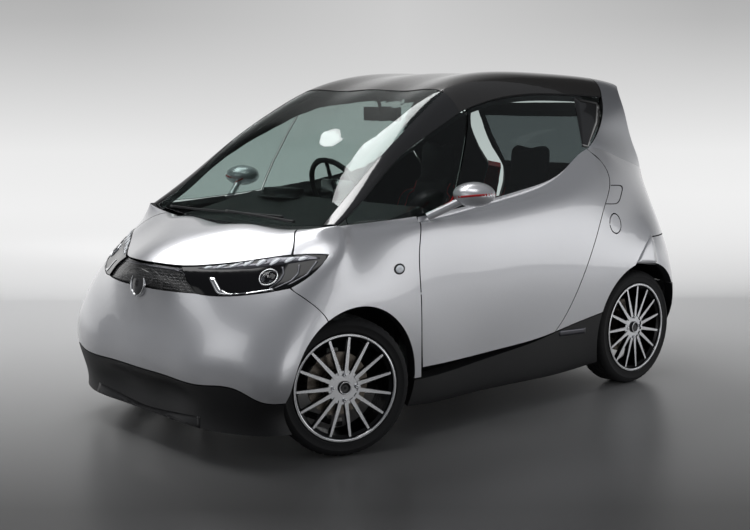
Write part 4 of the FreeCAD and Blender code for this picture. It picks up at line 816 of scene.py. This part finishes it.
# %% Seat cloth
SEAMS = (-0.136, 0.136)
SEAM_HEIGHTS = (0.26, 0.50, 0.765)
SEAM_HALF = 0.009
PUFF_LIMIT = 0.022
start = [v.co.copy() for v in raw.data.vertices]
held = raw.vertex_groups.new(name="sewn")
for vertex in raw.data.vertices:
    x, y, z = vertex.co
    sewn = min(abs(y - seam) for seam in SEAMS) < SEAM_HALF
    across_seam = min(abs(z - seam) for seam in SEAM_HEIGHTS) < SEAM_HALF and abs(y) < 0.14
    if sewn or across_seam or z < 0.16:
        held.add([vertex.index], 1.0, "REPLACE")
cloth = raw.modifiers.new("foam", "CLOTH")
cloth.settings.use_pressure = True
cloth.settings.uniform_pressure_force = 4.0
cloth.settings.vertex_group_mass = "sewn"
cloth.settings.quality = 5
cloth.settings.effector_weights.gravity = 0.0
for kind in ("tension", "compression"):
    setattr(cloth.settings, kind + "_stiffness", 12.0)
for frame_number in range(1, 21):
    scene.frame_set(frame_number)
raw.data = settled(raw)
raw.modifiers.clear()
for vertex, was in zip(raw.data.vertices, start):
    moved = vertex.co - was
    if moved.length > PUFF_LIMIT:
        vertex.co = was + moved.normalized() * PUFF_LIMIT
scene.frame_set(1)
fine = raw.modifiers.new("finer", "SUBSURF")
fine.levels = fine.render_levels = 1
seat_mesh = settled(raw)
for vertex in seat_mesh.vertices:
    vertex.co.x = min(max(vertex.co.x, -0.679), -0.001)
    vertex.co.y = min(max(vertex.co.y, -0.2349), 0.2349)
    vertex.co.z = min(max(vertex.co.z, 0.1101), 0.999)
bpy.data.objects.remove(raw)
print("the finished seat has", len(seat_mesh.vertices), "points")

# %% [markdown]
# Red piping runs up the seams of the back and over the shoulders. It is a thin tube laid on the
# finished cloth, so it follows every dip of the seam.

# %% Seats and piping
cloth_skin = BVHTree.FromPolygons([v.co for v in seat_mesh.vertices], [p.vertices for p in seat_mesh.polygons])


def on_cloth(guide):
    return [cloth_skin.find_nearest(Vector(p))[0] for p in evenly(guide, 60)]


PIPING_RADIUS = 0.0028
PIPING = [[(-0.40, s * 0.137, 0.285), (-0.47, s * 0.137, 0.50), (-0.555, s * 0.137, 0.735), (-0.60, s * 0.118, 0.765)]
          for s in (-1, 1)]
PIPING += [[(-0.03, s * 0.137, 0.29), (-0.20, s * 0.137, 0.275), (-0.38, s * 0.137, 0.27)] for s in (-1, 1)]
PIPING += [[(-0.43, s * 0.224, 0.42), (-0.52, s * 0.224, 0.62), (-0.59, s * 0.205, 0.742), (-0.62, s * 0.14, 0.762)]
           for s in (-1, 1)]
for side in (1, -1):
    name = "left" if side > 0 else "right"
    place_seat = Vector((SEAT_X, SEAT_Y * side, SEAT_Z))
    verts = [place_seat + Vector((v.co.x, v.co.y * side, v.co.z)) for v in seat_mesh.vertices]
    seat = piece("cushion_" + name, verts, [tuple(p.vertices) for p in seat_mesh.polygons], seat_cloth, "car_body")
    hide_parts("seat_" + name)
    verts, faces = [], []
    for guide in PIPING:
        some, cord_faces = tube(on_cloth(guide), PIPING_RADIUS)
        faces += [tuple(k + len(verts) for k in face) for face in cord_faces]
        verts += [place_seat + Vector((v.x, v.y * side, v.z)) for v in some]
    piping = piece("piping_" + name, verts, faces, red_piping, "car_body")
    piping.parent = seat
    piping.matrix_parent_inverse = seat.matrix_world.inverted()
print("two seats")

# %% [markdown]
# Inside, the dashboard gets a screen and a hood over the dials. They are seen through the
# windscreen only, so two rounded boxes are enough.

# %% Dashboard trim
def rounded_box(low, high, edge, segments=3):
    """Vertices and faces of a box with rounded edges."""
    work = bmesh.new()
    bmesh.ops.create_cube(work, size=1.0)
    low, high = Vector(low), Vector(high)
    for vertex in work.verts:
        vertex.co = Vector(((low[k] + high[k]) / 2 + vertex.co[k] * (high[k] - low[k])) for k in range(3))
    bmesh.ops.bevel(work, geom=work.edges[:] + work.verts[:], offset=edge, segments=segments, affect="EDGES")
    work.verts.index_update()
    verts, faces = [v.co.copy() for v in work.verts], [tuple(v.index for v in face.verts) for face in work.faces]
    work.free()
    return verts, faces


dash_low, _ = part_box("dashboard")
screen_finish = Finish("screen_glass", base_color=(0.01, 0.012, 0.014, 1), coat_weight=1.0)
screen_finish.look(roughness=screen_finish.noise(20.0) * 0.1 + 0.1)
dash_skin = skin("dashboard")
dash_top, _, _, _ = dash_skin.ray_cast(Vector((dash_low.x + 0.12, 0, 3)), Vector((0, 0, -1)))
verts, faces = rounded_box((dash_top.x - 0.012, -0.11, dash_top.z - 0.02),
                           (dash_top.x + 0.012, 0.11, dash_top.z + 0.095), 0.008)
piece("dash_screen", verts, faces, screen_finish.material, "car_body")
verts, faces = rounded_box((dash_top.x - 0.02, -0.43, dash_top.z - 0.03),
                           (dash_top.x + 0.15, -0.19, dash_top.z + 0.045), 0.035, 5)
piece("dial_hood", verts, faces, cabin_plastic, "car_body")
print("dashboard top is at", [round(c, 3) for c in dash_top])

# %% [markdown]
# The tail lamps are red lenses with fine upright ribs. Ribs are a wave pattern across the car
# that tilts the surface, which is how a moulded lens scatters its light.

# %% Tail lamps
red_lens = Finish("red_lens", roughness=0.12, coat_weight=1.0, coat_roughness=0.03)
rib = red_lens.node("ShaderNodeTexWave", {"bands_direction": "Z"}, {"Vector": red_lens.place(), "Scale": 45.0})
# The rib crests are painted a lighter red: a painted sheen on the ribs.
red_lens.look(base_color=red_lens.blend(rib * 0.5, (0.30, 0.006, 0.008, 1), (0.5, 0.02, 0.02, 1)))
red_lens.rough_by(rib, 0.5, 0.003)
nodes["tail_lamps"].data.materials.clear()
nodes["tail_lamps"].data.materials.append(red_lens.material)


def flat_rays(start, way, low, high, along, across):
    """Parallel rays that fill an upright rectangle, seen along the car."""
    rays = []
    for i in range(along):
        y = low[0] + (high[0] - low[0]) * i / (along - 1)
        rays.append([(Vector((start, y, low[1] + (high[1] - low[1]) * j / (across - 1))), Vector((way, 0, 0)))
                     for j in range(across)])
    return rays


plate_white = grained("blank_plate", (0.55, 0.55, 0.53), 0.45, 200.0, 0.05)
sheet_on("number_plate_rear", flat_rays(-3.0, 1, (-0.26, 0.44), (0.26, 0.55), 20, 5), "rear_bumper", plate_white,
         BODY, 0.004, 0.002)
print("tail lamps and blank number plate")

# %% [markdown]
# The studio is a floor that curves up into a wall behind the car, square to the view. Its floor
# is painted darker towards the viewer: painted shade. The floor takes real light, so it keeps the
# car's shadow, while the wall glows by itself, for the camera and for what mirrors it or lets it through.
# That stands for lamps that wash it. The greys were set by comparing single points of the photo.

# %% Studio
GROUND_EYE = Vector((EYE.x, EYE.y, 0))
AWAY = Vector((math.cos(YAW), math.sin(YAW), 0))
ACROSS = Vector((-AWAY.y, AWAY.x, 0))
WALL_AT, SWEEP = 8.9, 0.7


def studio():
    section = [(-9.0, 0.0), (WALL_AT - SWEEP, 0.0)]
    for i in range(1, 17):
        angle = math.pi / 2 * i / 16
        section.append((WALL_AT - SWEEP + SWEEP * math.sin(angle), SWEEP * (1 - math.cos(angle))))
    section.append((WALL_AT, 5.5))
    verts = [GROUND_EYE + AWAY * s + ACROSS * side * 11 + Vector((0, 0, h)) for side in (-1, 1) for s, h in section]
    count = len(section)
    faces = [(i, i + 1, count + i + 1, count + i) for i in range(count - 1)]
    mesh = bpy.data.meshes.new("studio")
    mesh.from_pydata([tuple(v) for v in verts], [], faces)
    for polygon in mesh.polygons:
        polygon.use_smooth = True
    made = bpy.data.objects.new("studio", mesh)
    scene.collection.objects.link(made)
    return made


backdrop = studio()
print("the wall stands", WALL_AT, "m from the eye")

# %% Studio paint
# The floor greys are painted shade, darker towards the viewer.
FLOOR_SHADE_GREYS = ((4.0, 0.07), (5.1, 0.26), (6.8, 0.54), (8.2, 0.70), (9.0, 0.86))
WALL_GREYS = ((0.0, 0.92), (0.97, 0.82), (1.9, 0.47), (2.4, 0.36), (3.4, 0.02))
card = Finish("studio_paint", roughness=0.32, specular_ior_level=0.35)
place = card.place()
parted = card.tree.nodes.new("ShaderNodeSeparateXYZ")
card.tree.links.new(place.socket, parted.inputs[0])
height = Value(card, parted.outputs[2])
far = card.vector("DOT_PRODUCT", card.vector("SUBTRACT", place, tuple(GROUND_EYE)), tuple(AWAY), 1)
side = card.vector("DOT_PRODUCT", card.vector("SUBTRACT", place, tuple(GROUND_EYE)), tuple(ACROSS), 1)


def grey_ramp(along, greys):
    low, high = greys[0][0], greys[-1][0]
    stops = [((at - low) / (high - low), (grey, grey, grey)) for at, grey in greys]
    share = (along - low) / (high - low)
    return card.node("ShaderNodeValToRGB", {"stops": stops}, [share])


speckle = card.noise(90.0, 2.0) * 0.03 + 0.985
shaded_floor_grey = card.vector("SCALE", grey_ramp(far, FLOOR_SHADE_GREYS))
card.tree.links.new(speckle.socket, shaded_floor_grey.socket.node.inputs["Scale"])
wall_grey = grey_ramp(height, WALL_GREYS)
middle = (1 - abs(side + 0.2) / 2.2).most(0) * (height / 1.9).least(1)
wall_grey = card.blend(middle * 0.55, wall_grey, (0.72, 0.72, 0.72, 1))
rays = card.tree.nodes.new("ShaderNodeLightPath")
seen = Value(card, rays.outputs["Is Camera Ray"]).most(Value(card, rays.outputs["Is Glossy Ray"]))
seen = seen.most(Value(card, rays.outputs["Is Transmission Ray"]))
on_wall = ((far - (WALL_AT - SWEEP)) / SWEEP).most(0).least(1) * seen
card.look(base_color=card.blend(on_wall, shaded_floor_grey, (0, 0, 0, 1)),
          emission_color=card.blend(on_wall, (0, 0, 0, 1), wall_grey), emission_strength=1.0)
backdrop.data.materials.append(card.material)
print("floor greys", FLOOR_SHADE_GREYS)

# %% [markdown]
# Gloss black shows whatever it mirrors, so the soft lamps hang only where the roof, the pillars
# and the windscreen don't mirror them towards the eye. One is over the nose, one over the far
# side, one in front, and a long low one stands behind the near side, where the door mirrors it.
# A small one beside the car is what the front wheel's machined face mirrors.
# The world adds a little plain light from all round.

# %% Light
def panel(name, at, towards, wide, long, glow):
    """A soft lamp whose surface is as bright as glow times white."""
    data = bpy.data.lights.new(name, "AREA")
    data.shape, data.size, data.size_y = "RECTANGLE", wide, long
    data.energy = glow * math.pi * wide * long
    made = bpy.data.objects.new(name, data)
    turn = (Vector(towards) - Vector(at)).to_track_quat("-Z", "Y").to_matrix().to_4x4()
    made.matrix_world = Matrix.Translation(at) @ turn
    scene.collection.objects.link(made)


panel("over_nose", (1.9, 0.6, 5.0), (1.2, 0.3, 0.0), 2.4, 1.8, 3.0)
panel("over_far_side", (0.3, -2.8, 5.0), (0.0, 0.0, 0.3), 5.2, 2.2, 4.5)
panel("front", (6.5, -1.2, 2.6), (1.0, 0.0, 0.5), 4.0, 3.0, 0.85)
panel("wheel_side", (0.9, 6.5, 0.9), (0.6, 0.6, 0.3), 2.4, 1.6, 1.6)
panel("low_side", (-3.6, 5.2, 0.95), (-0.2, 0.8, 0.6), 5.5, 1.7, 1.5)
world = bpy.data.worlds.new("world")
world.use_nodes = True
world.node_tree.nodes["Background"].inputs["Color"].default_value = (0.155, 0.16, 0.17, 1)
world.node_tree.nodes["Background"].inputs["Strength"].default_value = 1.0
scene.world = world
print("light is set")
